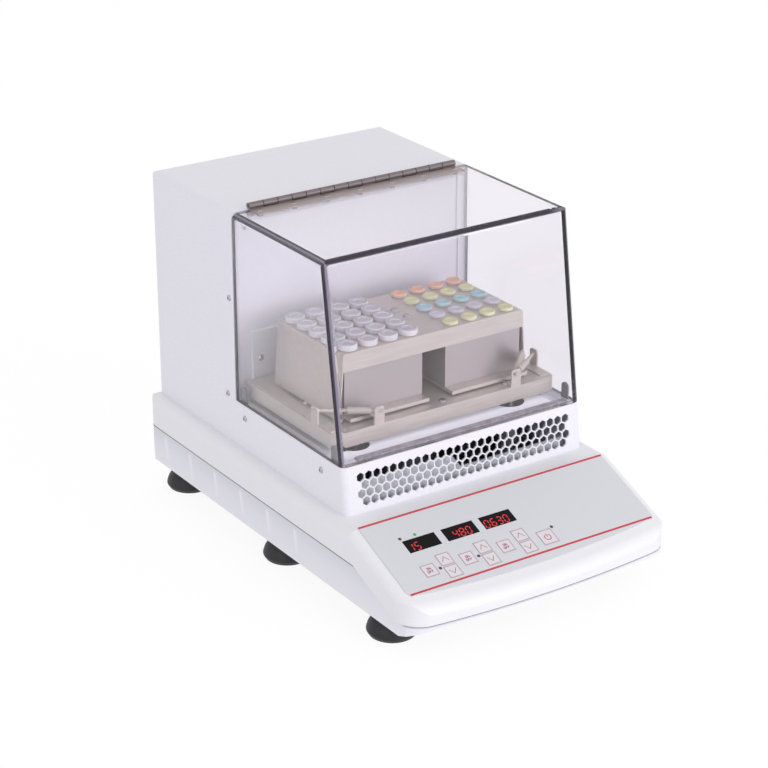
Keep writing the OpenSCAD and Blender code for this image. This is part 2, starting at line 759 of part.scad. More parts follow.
module indicator_lamps() {
    color("#7A2020") for (p = LAMPS) on_panel(p[0], p[1])
        translate([0, 0, 0.1]) cylinder(r = lamp_r, h = overlay_t);
}

module control_board() {
    color("#2E6B45") difference() {
        on_panel(-20, 46) translate([-95, -34, -board_d - 1.6]) cube([170, 68, 1.6]);
        for (x = BOARD_X, s = BOARD_S) on_panel(x, s) translate([0, 0, -board_d - 3])
            cylinder(r = 1.6, h = 6);
    }
    color("#26262A") for (k = KEYS) on_panel(k[0], k[1]) translate([-3, -3, -board_d])
        cube([6, 6, switch_h]);
    color("#D9DBE0") for (x = BOARD_X, s = BOARD_S) on_panel(x, s)
        translate([0, 0, -board_d]) difference() {
            cylinder(r = 3.2, h = board_d - base_wall);
            translate([0, 0, -1]) cylinder(r = 1.2, h = 6);
        }
}

// A key: a square cap, a flange that holds it in, and a stem to the switch
module panel_key(i) {
    k = KEYS[i];
    w = k[2] - 2 * key_gap;
    color("#E3D6DA") on_panel(k[0], k[1]) {
        translate([-w / 2, -w / 2, -base_wall - 0.8])
            cube([w, w, base_wall + overlay_t + 1]);
        translate([-w / 2 - 1.6, -w / 2, -base_wall - 1.1]) cube([w + 3.2, w, 1]);
        translate([0, 0, -board_d + switch_h + key_travel + 0.1])
            cylinder(r = 2, h = board_d - switch_h - base_wall - key_travel);
    }
}

module temp_on_key() { panel_key(0); }
module temp_up_key() { panel_key(1); }
module temp_down_key() { panel_key(2); }
module speed_on_key() { panel_key(3); }
module speed_up_key() { panel_key(4); }
module speed_down_key() { panel_key(5); }
module time_on_key() { panel_key(6); }
module time_up_key() { panel_key(7); }
module time_down_key() { panel_key(8); }
module power_key() { panel_key(9); }

// Drive: a motor, a belt and a vertical shaft with an offset pin
pulley_z = chassis_z - chassis_t - 17;
pulley_h = 13;
housing_top = floor_z - 15;
crank_z = housing_top + 1;
pin_top = tray_z - tray_t - 2;
carrier_z = tray_z - tray_t - 9;
carrier_h = 8.9;
GUIDES = [[-guide_x, cy - guide_y], [guide_x, cy - guide_y], [0, cy + guide_y]];

module chassis_plate() {
    color("#A9ABAF") difference() {
        translate([-104, cy - 74, chassis_z - chassis_t]) cube([208, 148, chassis_t]);
        translate([0, cy, chassis_z - 10]) cylinder(r = 15, h = 20);
        translate([motor_x, cy, chassis_z - 10]) cylinder(r = 9, h = 20);
        for (p = STANDOFFS) translate([p[0], p[1], chassis_z - 10]) cylinder(r = 2, h = 20);
    }
}

module bearing_housing() {
    h = housing_top - chassis_z;
    color("#B9BBBF") translate([0, cy, chassis_z]) difference() {
        union() {
            cylinder(r = 20, h = h);
            cylinder(r = 32, h = 5);
        }
        translate([0, 0, -1]) cylinder(r = shaft_r + 6, h = h + 2);
        for (z = [-1, h - 8]) translate([0, 0, z]) cylinder(r = shaft_r + 8.02, h = 9);
        for (a = [0:90:270]) rotate(a + 45) translate([26, 0, -1]) cylinder(r = 2.2, h = 8);
    }
}

module bearing(inner, outer, h) {
    difference() {
        cylinder(r = outer, h = h);
        translate([0, 0, -1]) cylinder(r = inner + run_fit, h = h + 2);
        translate([0, 0, h - 0.4]) difference() {
            cylinder(r = outer - 1.4, h = 1);
            translate([0, 0, -1]) cylinder(r = inner + 1.6, h = 3);
        }
    }
}

module main_bearings() {
    color("#D5D6DA") for (z = [chassis_z, housing_top - 8])
        translate([0, cy, z]) bearing(shaft_r, shaft_r + 8, 8);
}

module eccentric_shaft() {
    color("#C4C6CA") translate([0, cy, 0]) {
        translate([0, 0, pulley_z - 3]) cylinder(r = shaft_r, h = crank_z - pulley_z + 4);
        translate([0, 0, crank_z]) cylinder(r = 12, h = 6);
        translate([orbit_r, 0, crank_z + 5]) cylinder(r = crank_pin_r, h = pin_top - crank_z - 5);
    }
}

module counterweight() {
    color("#8E9094") translate([0, cy, crank_z + 0.2]) difference() {
        intersection() {
            cylinder(r = 23, h = 5.6);
            translate([-30, -30, 0]) cube([30, 60, 8]);
        }
        translate([0, 0, -1]) cylinder(r = 12.1, h = 8);
    }
    color("#8E9094") translate([0, cy, crank_z + 6.1]) difference() {
        intersection() {
            cylinder(r = 23, h = 4);
            translate([-30, -30, 0]) cube([24, 60, 8]);
        }
        translate([0, 0, -1]) cylinder(r = 4, h = 8);
    }
}

module pulley(r, bore) {
    difference() {
        union() {
            cylinder(r = r, h = pulley_h);
            cylinder(r = r + 3, h = 1.5);
            translate([0, 0, pulley_h - 1.5]) cylinder(r = r + 3, h = 1.5);
        }
        translate([0, 0, -1]) cylinder(r = bore, h = pulley_h + 2);
        for (a = [0:60:300]) if (r > 25) rotate(a) translate([r * 0.62, 0, -1])
            cylinder(r = r * 0.17, h = pulley_h + 2);
    }
}

module driven_pulley() {
    color("#5C5E63") translate([0, cy, pulley_z]) pulley(driven_r, shaft_r + 0.02);
}

module motor_pulley() {
    color("#5C5E63") translate([motor_x, cy, pulley_z]) {
        pulley(driver_r, 3.02);
    }
    color("#C4C6CA") translate([motor_x, cy, pulley_z - 2])
        cylinder(r = 3, h = chassis_z - pulley_z + 7);
}

// Outline of a belt round two pulleys, grown by g
function belt_loop(g) = let (a = acos((driven_r - driver_r) / motor_x)) concat(
    arc([0, 0], driven_r + g, a, 360 - a, 24), arc([motor_x, 0], driver_r + g, -a, a, 16));

module drive_belt() {
    color(dark) translate([0, cy, pulley_z + 2]) linear_extrude(pulley_h - 4) difference() {
        polygon(belt_loop(2.2));
        polygon(belt_loop(0.3));
    }
}

module drive_motor() {
    color("#4A4C52") translate([motor_x, cy, chassis_z + 0.1]) difference() {
        union() {
            cylinder(r = motor_r, h = 46);
            cylinder(r = motor_r + 3, h = 4);
            translate([0, 0, 46]) cylinder(r = 14, h = 5);
        }
        translate([0, 0, -1]) cylinder(r = 3 + run_fit, h = 9);
        for (a = [0:30:330]) rotate(a) translate([motor_r + 1.4, 0, 8]) cylinder(r = 2.6, h = 32);
    }
}

// Guide cranks keep the platform from turning
guide_top = floor_z - 14;

module guide_posts() {
    color("#B9BBBF") for (g = GUIDES) translate([g[0], g[1], chassis_z]) difference() {
        cylinder(r = 9, h = guide_top - chassis_z);
        translate([0, 0, guide_top - chassis_z - 26]) cylinder(r = guide_r + run_fit, h = 30);
    }
}

module guide_crank(i) {
    g = GUIDES[i];
    color("#C4C6CA") translate([g[0], g[1], 0]) {
        translate([0, 0, guide_top - 24]) cylinder(r = guide_r, h = 26);
        translate([0, 0, guide_top + 0.5]) cylinder(r = 8, h = 5);
        translate([orbit_r, 0, guide_top + 4]) cylinder(r = guide_r, h = pin_top - guide_top - 4);
    }
}

module guide_crank_left() { guide_crank(0); }
module guide_crank_right() { guide_crank(1); }
module guide_crank_rear() { guide_crank(2); }

module platform_carrier() {
    color("#B4B6BA") difference() {
        union() {
            translate([-tray_w / 2 + 8, tray_y0 + 8, carrier_z])
                cube([tray_w - 16, tray_len - 16, carrier_h]);
        }
        translate([orbit_r, cy, carrier_z - 1]) cylinder(r = crank_pin_r + 7.02, h = carrier_h + 2);
        for (g = GUIDES) translate([g[0] + orbit_r, g[1], carrier_z - 1])
            cylinder(r = guide_r + 6.02, h = carrier_h + 2);
        for (sx = [-1, 1]) translate([sx * 52 - 24, cy - 26, carrier_z - 1]) cube([48, 52, 6]);
    }
}

module carrier_bearings() {
    color("#D5D6DA") {
        translate([orbit_r, cy, carrier_z + 1.9]) bearing(crank_pin_r, crank_pin_r + 7, 7);
        for (g = GUIDES) translate([g[0] + orbit_r, g[1], carrier_z + 1.9])
            bearing(guide_r, guide_r + 6, 7);
    }
}

// Stainless tray with turned-down flanges, and ears that carry the clamp rods
rod_z = tray_z + ear_h - 3.6;
ROD_ENDS = [[-tray_w / 2 + tray_t / 2, tray_y0 + ear_y], [-tray_w / 2 + ear_x, tray_y0 + tray_t / 2]];
rod_dir = ROD_ENDS[1] - ROD_ENDS[0];
rod_len = norm(rod_dir);
rod_a = atan2(rod_dir[1], rod_dir[0]);

module at_rod(side) {
    mirror([side > 0 ? 1 : 0, 0, 0]) translate([ROD_ENDS[0][0], ROD_ENDS[0][1], rod_z])
        rotate([0, 0, rod_a]) children();
}

module ear() {
    rotate([90, 0, 0]) linear_extrude(tray_t, center = true) bar_top(ear_w / 2, -tray_skirt + 1, ear_h, 2.5);
}

TRAY_SCREWS = [[-90, cy], [90, cy], [-64, tray_y0 + 9], [64, tray_y0 + 9], [0, tray_y0 + 9],
    [-64, tray_y1 - 9], [64, tray_y1 - 9]];

module tray() {
    z0 = tray_z - tray_skirt;
    color(steel) difference() {
        union() {
            difference() {
                translate([0, 0, z0]) linear_extrude(tray_skirt) tray_outline(0);
                translate([0, 0, z0 - 1]) linear_extrude(tray_skirt + 1 - tray_t) tray_outline(tray_t);
            }
            // Raised hems along both sides
            for (side = [-1, 1]) translate([side * (tray_w / 2 - 6) - 5, tray_y0 + 5, tray_z - 0.5])
                cube([10, tray_len - 10, 1.5]);
            for (side = [-1, 1]) {
                translate([side * (tray_w / 2 - ear_x), tray_y0 + tray_t / 2, tray_z]) ear();
                translate([side * (tray_w / 2 - tray_t / 2), tray_y0 + ear_y, tray_z])
                    rotate(90) ear();
                // Plain stops at the rear corners
                translate([side * (tray_w / 2 - ear_x), tray_y1 - tray_t / 2, tray_z]) ear();
            }
        }
        for (side = [-1, 1]) at_rod(side) translate([-6, 0, 0]) rotate([0, 90, 0])
            cylinder(r = rod_r + 0.05, h = rod_len + 12);
        for (s = TRAY_SCREWS) translate([s[0], s[1], tray_z - 5]) cylinder(r = 2.1, h = 10);
    }
}

module tray_outline(t) {
    w = tray_w / 2 - t;
    r = 4 - t;
    rounded([[w, tray_y0 + t], [w, tray_y1 - t], [-w, tray_y1 - t], [-w, tray_y0 + t]], [r, r, r, r]);
}

module tray_screws() {
    color("#DAD6D3") for (s = TRAY_SCREWS) translate([s[0], s[1], tray_z - tray_t]) {
        cylinder(r = 2, h = tray_t + 0.05);
        translate([0, 0, tray_t + 0.05]) cylinder(r1 = 3.6, r2 = 2.6, h = 1.3);
    }
}

module clamp_rods() {
    color("#CFC9C6") for (side = [-1, 1]) at_rod(side) translate([-2.5, 0, 0]) rotate([0, 90, 0])
        cylinder(r = rod_r, h = rod_len + 5);
}

// Clamp lever in its own frame: the rod is X, the blade points along -Y and its slanted edge
// lies along the rack's front when the lever is folded in
module lever() {
    x1 = rod_len - 3.3;
    x0 = x1 - lever_w;
    slant = tan(-rod_a) * (lever_w - 6);
    difference() {
        union() {
            translate([x0, 0, 0]) rotate([0, 90, 0]) cylinder(r = rod_r + 1.5, h = lever_w - 3.4);
            translate([0, 0, rod_r + 0.2]) linear_extrude(1.3) polygon([[x0, 0], [x1, 0], [x1, -lever_len],
                [x1 - 6, -lever_len], [x0, -max(lever_len - slant, 3)]]);
            translate([x1 - 4.5, -lever_len, rod_r + 0.2]) rotate([35, 0, 0])
                translate([0, -2.4, 0]) cube([4, 2.9, 1.3]);
        }
        translate([x0 - 1, 0, 0]) rotate([0, 90, 0]) cylinder(r = rod_r + 0.06, h = lever_w + 2);
    }
}

// Folded in over the corner of the rack's base plate, and released, leaning outward
lever_down = 191;
lever_up = 75;

module clamp_lever_left() { color(steel) at_rod(-1) rotate([-lever_down, 0, 0]) lever(); }
module clamp_lever_right() { color(steel) at_rod(1) rotate([-lever_up, 0, 0]) lever(); }

// Rack: a base plate, two blocks and a bent cover
rack_y0 = cy - rack_len / 2;
rack_y1 = cy + rack_len / 2;

module rack_base() {
    x = block_x + block_w / 2 + 1;
    color(steel) difference() {
        translate([-x, rack_y0 - rack_lip, tray_z + 1.6]) cube([2 * x, rack_len + rack_lip, plate_t]);
        translate([-block_gap / 2, rack_y0 - rack_lip - 1, tray_z])
            cube([block_gap, rack_len * 0.7 + rack_lip, plate_t + 4]);
    }
    color(steel) for (sx = [-1, 1], sy = [-1, 1])
        translate([sx * 40 - 10, cy + sy * 30 - 5, tray_z + 0.05]) cube([20, 10, 1.6]);
}

block_z0 = tray_z + 1.6 + plate_t + 0.05;
block_z1 = rack_top - rack_t - 0.1;

module tube_blocks() {
    color("#B8B2B4") difference() {
        for (side = [-1, 1])
            translate([side * block_x - block_w / 2, rack_y0 + 1.6, block_z0])
                cube([block_w, rack_len - 3.2, block_z1 - block_z0]);
        for (p = SMALL) translate([p[0], p[1], block_z1 - 38]) cylinder(r = 5.4, h = 60);
        for (p = LARGE) translate([p[0], p[1], block_z1 - 46]) cylinder(r = 6.8, h = 60);
    }
}

function grid(x, px, py) = [for (j = [0:tube_rows - 1], i = [0:tube_cols - 1])
    [x + (i - (tube_cols - 1) / 2) * px, cy + (j - (tube_rows - 1) / 2) * py]];
SMALL = grid(block_x, small_pitch_x, small_pitch_y);
LARGE = grid(-block_x, large_pitch_x, large_pitch_y);

module rack_cover() {
    w = rack_w / 2;
    z0 = tray_z + 2.2;
    color(steel) difference() {
        union() {
            difference() {
                along_y(rack_y0, rack_y1) bar_top(w, rack_top - rack_flange, rack_top, rack_bend_r);
                along_y(rack_y0 + rack_t, rack_y1 - rack_t) bar_top(w - rack_t,
                    rack_top - rack_flange - 1, rack_top - rack_t, rack_bend_r - rack_t);
            }
            for (side = [-1, 1]) mirror([side > 0 ? 0 : 1, 0, 0])
                along_y(rack_y0, rack_y1) polygon([[w - rack_t, rack_top - 4], [w, rack_top - 4],
                    [w + rack_flare, z0], [w + rack_flare - rack_t, z0]]);
        }
        for (p = SMALL) translate([p[0], p[1], rack_top - 5]) cylinder(r = 5.4, h = 10);
        for (p = LARGE) translate([p[0], p[1], rack_top - 5]) cylinder(r = 6.8, h = 10);
        for (s = RACK_SCREWS) translate([s[0], s[1], rack_top - 5]) cylinder(r = 2.1, h = 10);
    }
}

RACK_SCREWS = [[0, cy - 6], [0, cy + 12]];

module rack_screws() {
    color("#E4E2E2") for (s = RACK_SCREWS) translate([s[0], s[1], rack_top]) {
        translate([0, 0, -10]) cylinder(r = 2, h = 10.05);
        translate([0, 0, 0.05]) intersection() {
            translate([0, 0, -2]) sphere(r = 4.6);
            cylinder(r = 5, h = 5);
        }
    }
    // Nut bar under the cover
    color("#B8B2B4") difference() {
        translate([-5, RACK_SCREWS[0][1] - 7, rack_top - rack_t - 6.1])
            cube([10, RACK_SCREWS[1][1] - RACK_SCREWS[0][1] + 14, 6]);
        for (s = RACK_SCREWS) translate([s[0], s[1], rack_top - 15]) cylinder(r = 2.05, h = 20);
    }
}

// A tube with a rounded end and a cap
module tube(r, len, cap_r, cap_h) {
    rotate_extrude() polygon(concat([[0, -len]], arc([0, -len + r], r, -80, 0, 5),
        [[r, 0.1], [cap_r - 0.4, 0.1], [cap_r, 0.5], [cap_r, cap_h - 0.6], [cap_r - 0.6, cap_h],
        [cap_r * 0.55, cap_h], [cap_r * 0.5, cap_h - 0.5], [0, cap_h - 0.5]]));
}

cap_colors = ["#DCE07A", "#C9C7DC", "#7FC4CF", "#E5E08A", "#F2A07A"];

module small_tubes() {
    for (n = [0:len(SMALL) - 1]) color(cap_colors[floor(n / tube_cols) % 5])
        translate([SMALL[n][0], SMALL[n][1], rack_top]) tube(5.2, 36, small_cap_r, 3);
}

module large_tubes() {
    color("#E4E2E8") for (p = LARGE) translate([p[0], p[1], rack_top]) tube(6.6, 44, large_cap_r, 5);
}

// Warm air: a fan on the bulkhead and a finned heater below it
fan_y = box_y + sheet + 0.1 + bulkhead_t + 0.1;

module fan_housing() {
    color(dark) difference() {
        translate([fan_x - fan_half, fan_y, fan_z - fan_half]) cube([2 * fan_half, 25, 2 * fan_half]);
        translate([fan_x, fan_y - 1, fan_z]) rotate([-90, 0, 0]) cylinder(r = fan_half - 2, h = 27);
        for (sx = [-1, 1], sz = [-1, 1])
            translate([fan_x + sx * (fan_half - 4), fan_y - 1, fan_z + sz * (fan_half - 4)])
                rotate([-90, 0, 0]) cylinder(r = 1.6, h = 27);
    }
    color(dark) translate([fan_x, fan_y + 20, fan_z]) rotate([-90, 0, 0]) {
        cylinder(r = 12, h = 5);
        for (a = [45:90:315]) rotate(a) translate([8, -2, 0.6]) cube([fan_half - 8, 4, 3.8]);
        translate([0, 0, -12]) cylinder(r = 2.5, h = 13);
    }
}

module fan_impeller() {
    color("#3A3B40") translate([fan_x, fan_y + 3, fan_z]) rotate([-90, 0, 0]) {
        difference() {
            cylinder(r = 12, h = 16);
            translate([0, 0, 3]) cylinder(r = 2.5 + run_fit, h = 20);
        }
        intersection() {
            difference() {
                cylinder(r = fan_half - 4, h = 16);
                translate([0, 0, -1]) cylinder(r = 11, h = 18);
            }
            for (a = [0:360 / 7:359]) rotate(a) translate([18, 0, 8]) rotate([38, 0, 0])
                cube([22, 17, 1.5], center = true);
        }
    }
}

module heater_block() {
    x = 38;
    z = ledge_z + 6;
    color("#A8794A") for (i = [-4:4]) translate([i * 8 - fan_x - 0.5, fan_y, z]) cube([1, 20, 26]);
    color("#8C8E92") {
        for (dz = [7, 19]) translate([-x - fan_x, fan_y + 10, z + dz]) rotate([0, 90, 0])
            cylinder(r = 3, h = 2 * x);
        for (side = [-1, 1]) translate([side * (x - 1) - fan_x - 1, fan_y, z - 3]) cube([2, 20, 32]);
    }
}

base_tub();
deck_shell();
housing_cover();
rear_panel();
chamber_floor();
bulkhead();
air_baffle();
chassis_plate();
rubber_feet();
housing_screws();
hinge_leaf_case();
hinge_pin();
hinge_leaf_lid();
lid_shell();
hinge_screws();
gasket_strip();
lid_locators();
control_overlay();
display_windows();
indicator_lamps();
control_board();
temp_on_key();
temp_up_key();
temp_down_key();
speed_on_key();
speed_up_key();
speed_down_key();
time_on_key();
time_up_key();
time_down_key();
power_key();
drive_motor();
motor_pulley();
drive_belt();
bearing_housing();
main_bearings();
eccentric_shaft();
driven_pulley();
counterweight();
guide_posts();
guide_crank_left();
guide_crank_right();
guide_crank_rear();
platform_carrier();
carrier_bearings();
tray();
tray_screws();
clamp_rods();
clamp_lever_left();
clamp_lever_right();
rack_base();
rack_cover();
tube_blocks();
rack_screws();
large_tubes();
small_tubes();
fan_housing();
fan_impeller();
heater_block();
power_inlet();
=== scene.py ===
"""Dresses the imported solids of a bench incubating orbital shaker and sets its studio."""

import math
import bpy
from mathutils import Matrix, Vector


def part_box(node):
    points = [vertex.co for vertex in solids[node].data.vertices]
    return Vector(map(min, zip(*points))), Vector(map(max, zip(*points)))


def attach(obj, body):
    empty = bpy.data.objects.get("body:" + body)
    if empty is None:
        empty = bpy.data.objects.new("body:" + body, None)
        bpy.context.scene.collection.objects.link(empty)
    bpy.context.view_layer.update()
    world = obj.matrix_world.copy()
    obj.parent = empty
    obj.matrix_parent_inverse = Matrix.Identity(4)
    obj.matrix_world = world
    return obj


bl_info = {
    "name": "Incubating orbital shaker",
    "version": (1, 0, 0),
    "blender": (4, 5, 0),
    "location": "View3D > Sidebar > Shaker",
    "description": "Finishes, printed panel and studio for a bench incubating orbital shaker",
    "category": "Object",
}

import bpy
import numpy as np
from bpy.props import FloatProperty, FloatVectorProperty, PointerProperty, StringProperty
from mathutils import Vector

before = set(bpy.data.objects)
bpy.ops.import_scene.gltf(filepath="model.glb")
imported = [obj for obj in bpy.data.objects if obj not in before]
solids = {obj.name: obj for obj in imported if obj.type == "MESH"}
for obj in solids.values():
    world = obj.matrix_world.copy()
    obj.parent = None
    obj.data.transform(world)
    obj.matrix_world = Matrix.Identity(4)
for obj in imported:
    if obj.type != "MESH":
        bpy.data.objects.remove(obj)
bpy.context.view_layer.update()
MM = 0.001
# Lean of the housing's and the lid's front, top of the sheet metal box, and half the width of a
# change of finish, in radians and metres
LEAN = math.radians(8.3)
BOX_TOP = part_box("housing_cover")[1][2]
SOFT = 0.0002
# Steel of the hinge knuckles, darker than the leaf: painted shade on the same steel
SHADED_KNUCKLE_STEEL = "#7D7476"


def from_hex(code):
    """An sRGB hex value as linear red, green, blue and alpha: each channel goes through
    the sRGB curve, a straight line near black and a power of 2.4 above it."""
    raw = np.array([int(code[i : i + 2], 16) for i in (1, 3, 5)]) / 255.0
    linear = np.where(raw <= 0.04045, raw / 12.92, ((raw + 0.055) / 1.055) ** 2.4)
    return (*linear.tolist(), 1.0)


def add(tree, kind, inputs=None, **settings):
    """Adds one node with its settings, and links or sets its inputs."""
    item = tree.nodes.new(kind)
    for name, value in settings.items():
        setattr(item, name, value)
    for key, value in (inputs or {}).items():
        if isinstance(value, bpy.types.NodeSocket):
            tree.links.new(value, item.inputs[key])
        else:
            item.inputs[key].default_value = value
    return item


def ramp(tree, factor, stops, interpolation="LINEAR"):
    """A colour ramp over a factor, with stops of (place, hex colour)."""
    item = add(tree, "ShaderNodeValToRGB", {"Fac": factor})
    item.color_ramp.interpolation = interpolation
    marks = item.color_ramp.elements
    while len(marks) < len(stops):
        marks.new(0.5)
    for mark, (place, code) in zip(marks, stops):
        mark.position = place
        mark.color = from_hex(code)
    return item.outputs["Color"]


def maths(tree, operation, first, second=0.5):
    """One arithmetic step on two values or sockets; ABSOLUTE and FRACT read the first alone."""
    return add(tree, "ShaderNodeMath", {0: first, 1: second}, operation=operation).outputs[0]


def span(tree, value, low, high, to_low=0.0, to_high=1.0):
    """A value taken from one range to another in a straight line, and held at the ends."""
    ends = {"From Min": low, "From Max": high, "To Min": to_low, "To Max": to_high}
    return add(tree, "ShaderNodeMapRange", {"Value": value, **ends}).outputs[0]


def blend(tree, share, first, second):
    """The colour between two, each a socket or an sRGB hex value, by a share from 0 to 1."""
    first, second = (from_hex(colour) if isinstance(colour, str) else colour for colour in (first, second))
    return add(tree, "ShaderNodeMix", {"Factor": share, 6: first, 7: second}, data_type="RGBA").outputs[2]


def parts_of(tree, kind="Object"):
    """X, Y and Z of the object coordinates in metres, or of the outward normal."""
    vector = add(tree, "ShaderNodeTexCoord").outputs[kind]
    return tuple(add(tree, "ShaderNodeSeparateXYZ", {"Vector": vector}).outputs)


def seen_plainly(tree):
    """1 for rays from the camera, from a reflection or through clear plastic, else 0."""
    path = add(tree, "ShaderNodeLightPath").outputs
    seen = maths(tree, "MAXIMUM", path["Is Camera Ray"], path["Is Glossy Ray"])
    return maths(tree, "MAXIMUM", seen, path["Is Transmission Ray"])


def tone(code, step):
    """The same sRGB hex colour with step added to each of its channels."""
    channels = (int(code[i : i + 2], 16) + step for i in (1, 3, 5))
    return "#%02X%02X%02X" % tuple(min(255, max(0, channel)) for channel in channels)


def finish(name, colour, roughness, metallic=0.0, **sockets):
    """A new material with one Principled shader; plain values sit on its own sockets."""
    material = bpy.data.materials.new(name)
    material.use_nodes = True
    tree = material.node_tree
    shader = tree.nodes["Principled BSDF"]
    shader.inputs["Base Color"].default_value = from_hex(colour)
    shader.inputs["Roughness"].default_value = roughness
    shader.inputs["Metallic"].default_value = metallic
    for key, value in sockets.items():
        shader.inputs[key.replace("_", " ")].default_value = value
    return material, tree, shader


def grain(tree, shader, size_mm, low, high, rough, depth_mm, stretch=(1, 1, 1), detail=3.0):
    """Colour and roughness drift over a noise whose spots are size_mm across, with a bump.
    Gives back the noise's coordinates."""
    place = add(tree, "ShaderNodeTexCoord").outputs["Object"]
    if stretch != (1, 1, 1):
        place = add(tree, "ShaderNodeMapping", {"Vector": place, "Scale": stretch}).outputs[0]
    spots = {"Vector": place, "Scale": 1.0 / (size_mm * MM), "Detail": detail}
    value = add(tree, "ShaderNodeTexNoise", spots).outputs["Fac"]
    tree.links.new(ramp(tree, value, [(0.3, low), (0.7, high)]), shader.inputs["Base Color"])
    tree.links.new(span(tree, value, 0, 1, *rough), shader.inputs["Roughness"])
    bump = add(tree, "ShaderNodeBump", {"Height": value, "Strength": 0.35, "Distance": depth_mm * MM})
    tree.links.new(bump.outputs[0], shader.inputs["Normal"])
    return place


def repaint(tree, shader, share, colour):
    """Lays a colour over the shader's own base colour by a share from 0 to 1."""
    under = shader.inputs["Base Color"].links[0].from_socket
    tree.links.new(blend(tree, share, under, colour), shader.inputs["Base Color"])


def moulded_abs():
    """ABS, injection moulded with a fine spark texture: satin, cool off-white."""
    colour = bpy.context.scene.shaker_finish.shell
    material, tree, shader = finish("Moulded ABS, off-white", colour, 0.42, IOR=1.54)
    grain(tree, shader, 0.9, tone(colour, -2), tone(colour, 2), (0.38, 0.48), 0.02)
    return material


def tub_abs():
    """The same ABS on the lower shell, a cooler grey, with painted shade: darker under the upper
    shell and paler towards the bottom. Painted highlights lie along its six creases on each side.
    The joint carries a painted shadow line under the upper shell, paler in front; its height runs
    level along the sides and falls in front of the fold."""
    creases, pitch, rear_margin, side_wall = 6, 0.043, 0.0085, 0.12
    bottom, top, shadow_line_height, nose = 0.026, 0.062, 0.0011, (-0.165, -0.178)
    rim_front, rim_rear = (-0.1815, 0.0373), (-0.1235, 0.0603)
    colour = bpy.context.scene.shaker_finish.tub
    material, tree, shader = finish("Moulded ABS, cool grey", colour, 0.42, IOR=1.54)
    place = grain(tree, shader, 0.9, tone(colour, -2), tone(colour, 2), (0.38, 0.48), 0.02)
    x, y, z = add(tree, "ShaderNodeSeparateXYZ", {"Vector": place}).outputs
    height = span(tree, z, bottom, top)
    # Painted shade: darker near the top under the upper shell, paler towards the bottom
    painted_shade_by_height = ramp(tree, height, [(0.0, tone(colour, 11)), (0.5, tone(colour, 4)), (1.0, tone(colour, -12))])
    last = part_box("base_tub")[1][1] - rear_margin
    # Painted highlights: pale streaks along the six creases on each side
    turn = maths(tree, "FRACT", span(tree, y, last - creases * pitch, last, 0, creases))
    black, white = "#000000", "#FFFFFF"
    streak = ramp(tree, turn, [(0.0, black), (0.38, black), (0.47, white), (0.5, white), (0.54, black)])
    tall = ramp(tree, height, [(0.1, black), (0.25, white), (0.75, white), (0.86, black)])
    side = maths(tree, "GREATER_THAN", maths(tree, "ABSOLUTE", x), side_wall)
    painted_crease_highlight = maths(tree, "MULTIPLY", maths(tree, "MULTIPLY", streak, tall), side)
    lit = blend(tree, painted_crease_highlight, painted_shade_by_height, tone(colour, 14))
    # Painted shadow: a dark line in the joint under the upper shell, paler in front
    rim = span(tree, y, rim_front[0], rim_rear[0], rim_front[1], rim_rear[1])
    joint = maths(tree, "LESS_THAN", maths(tree, "SUBTRACT", rim, z), shadow_line_height)
    shade = ramp(tree, span(tree, y, *nose), [(0.0, "#6E6B78"), (1.0, "#D4D2DB")])
    tree.links.new(blend(tree, joint, lit, shade), shader.inputs["Base Color"])
    return material


def powder_coat():
    """Polyester powder coat on steel: an orange-peel skin about 2 mm across."""
    colour = bpy.context.scene.shaker_finish.coat
    material, tree, shader = finish("Powder coated steel, white", colour, 0.38, IOR=1.5)
    grain(tree, shader, 1.8, tone(colour, -3), tone(colour, 3), (0.33, 0.43), 0.03)
    return material


def pan_enamel():
    """Semi-gloss paint on the chamber's pan, a touch whiter than the outside."""
    material, tree, shader = finish("Painted steel pan", "#EEEDF2", 0.3, IOR=1.5)
    grain(tree, shader, 2.5, "#EBEAF0", "#F1F0F5", (0.25, 0.35), 0.02)
    return material


def satin_stainless():
    """Stainless sheet with a short satin grain across X, so gloss stretches along it."""
    colour = bpy.context.scene.shaker_finish.steel
    material, tree, shader = finish("Satin stainless sheet", colour, 0.42, 0.55)
    grain(tree, shader, 2.0, tone(colour, -6), tone(colour, 6), (0.38, 0.5), 0.012, stretch=(0.08, 1, 1))
    return material


def block_aluminium():
    """Aluminium block, milled and bead blasted: even, dull and slightly violet."""
    colour = bpy.context.scene.shaker_finish.blocks
    material, tree, shader = finish("Blasted aluminium", colour, 0.5, 0.5)
    grain(tree, shader, 0.7, tone(colour, -5), tone(colour, 5), (0.45, 0.55), 0.01)
    return material


def hinge_steel():
    """Rolled steel of a piano hinge: a warm grey leaf, and knuckles above it darkened by painted shade."""
    material, tree, shader = finish("Rolled hinge steel", "#A99D9D", 0.45, 0.6)
    grain(tree, shader, 1.5, "#A19595", "#B1A5A5", (0.4, 0.52), 0.01, stretch=(0.1, 1, 1))
    leaf_top = BOX_TOP + 0.0015
    shaded_knuckle = span(tree, parts_of(tree)[2], leaf_top - SOFT, leaf_top + SOFT)
    # Painted shade: the knuckles above the leaf darker than the leaf's own steel
    repaint(tree, shader, shaded_knuckle, SHADED_KNUCKLE_STEEL)
    return material


def painted_leaf():
    """The hinge steel of the knuckles, darker as painted shade, where it is bare, and the box's paint on the
    leaf below the top.
    """
    material, tree, shader = finish("Hinge steel, leaf painted", SHADED_KNUCKLE_STEEL, 0.45, 0.6)
    grain(tree, shader, 1.5, "#756C6E", "#857C7E", (0.4, 0.52), 0.01, stretch=(0.1, 1, 1))
    z = parts_of(tree)[2]
    low, high = BOX_TOP - SOFT, BOX_TOP + SOFT
    repaint(tree, shader, span(tree, z, high, low), "#E9E7F1")
    tree.links.new(span(tree, z, low, high, 0, 0.6), shader.inputs["Metallic"])
    return material


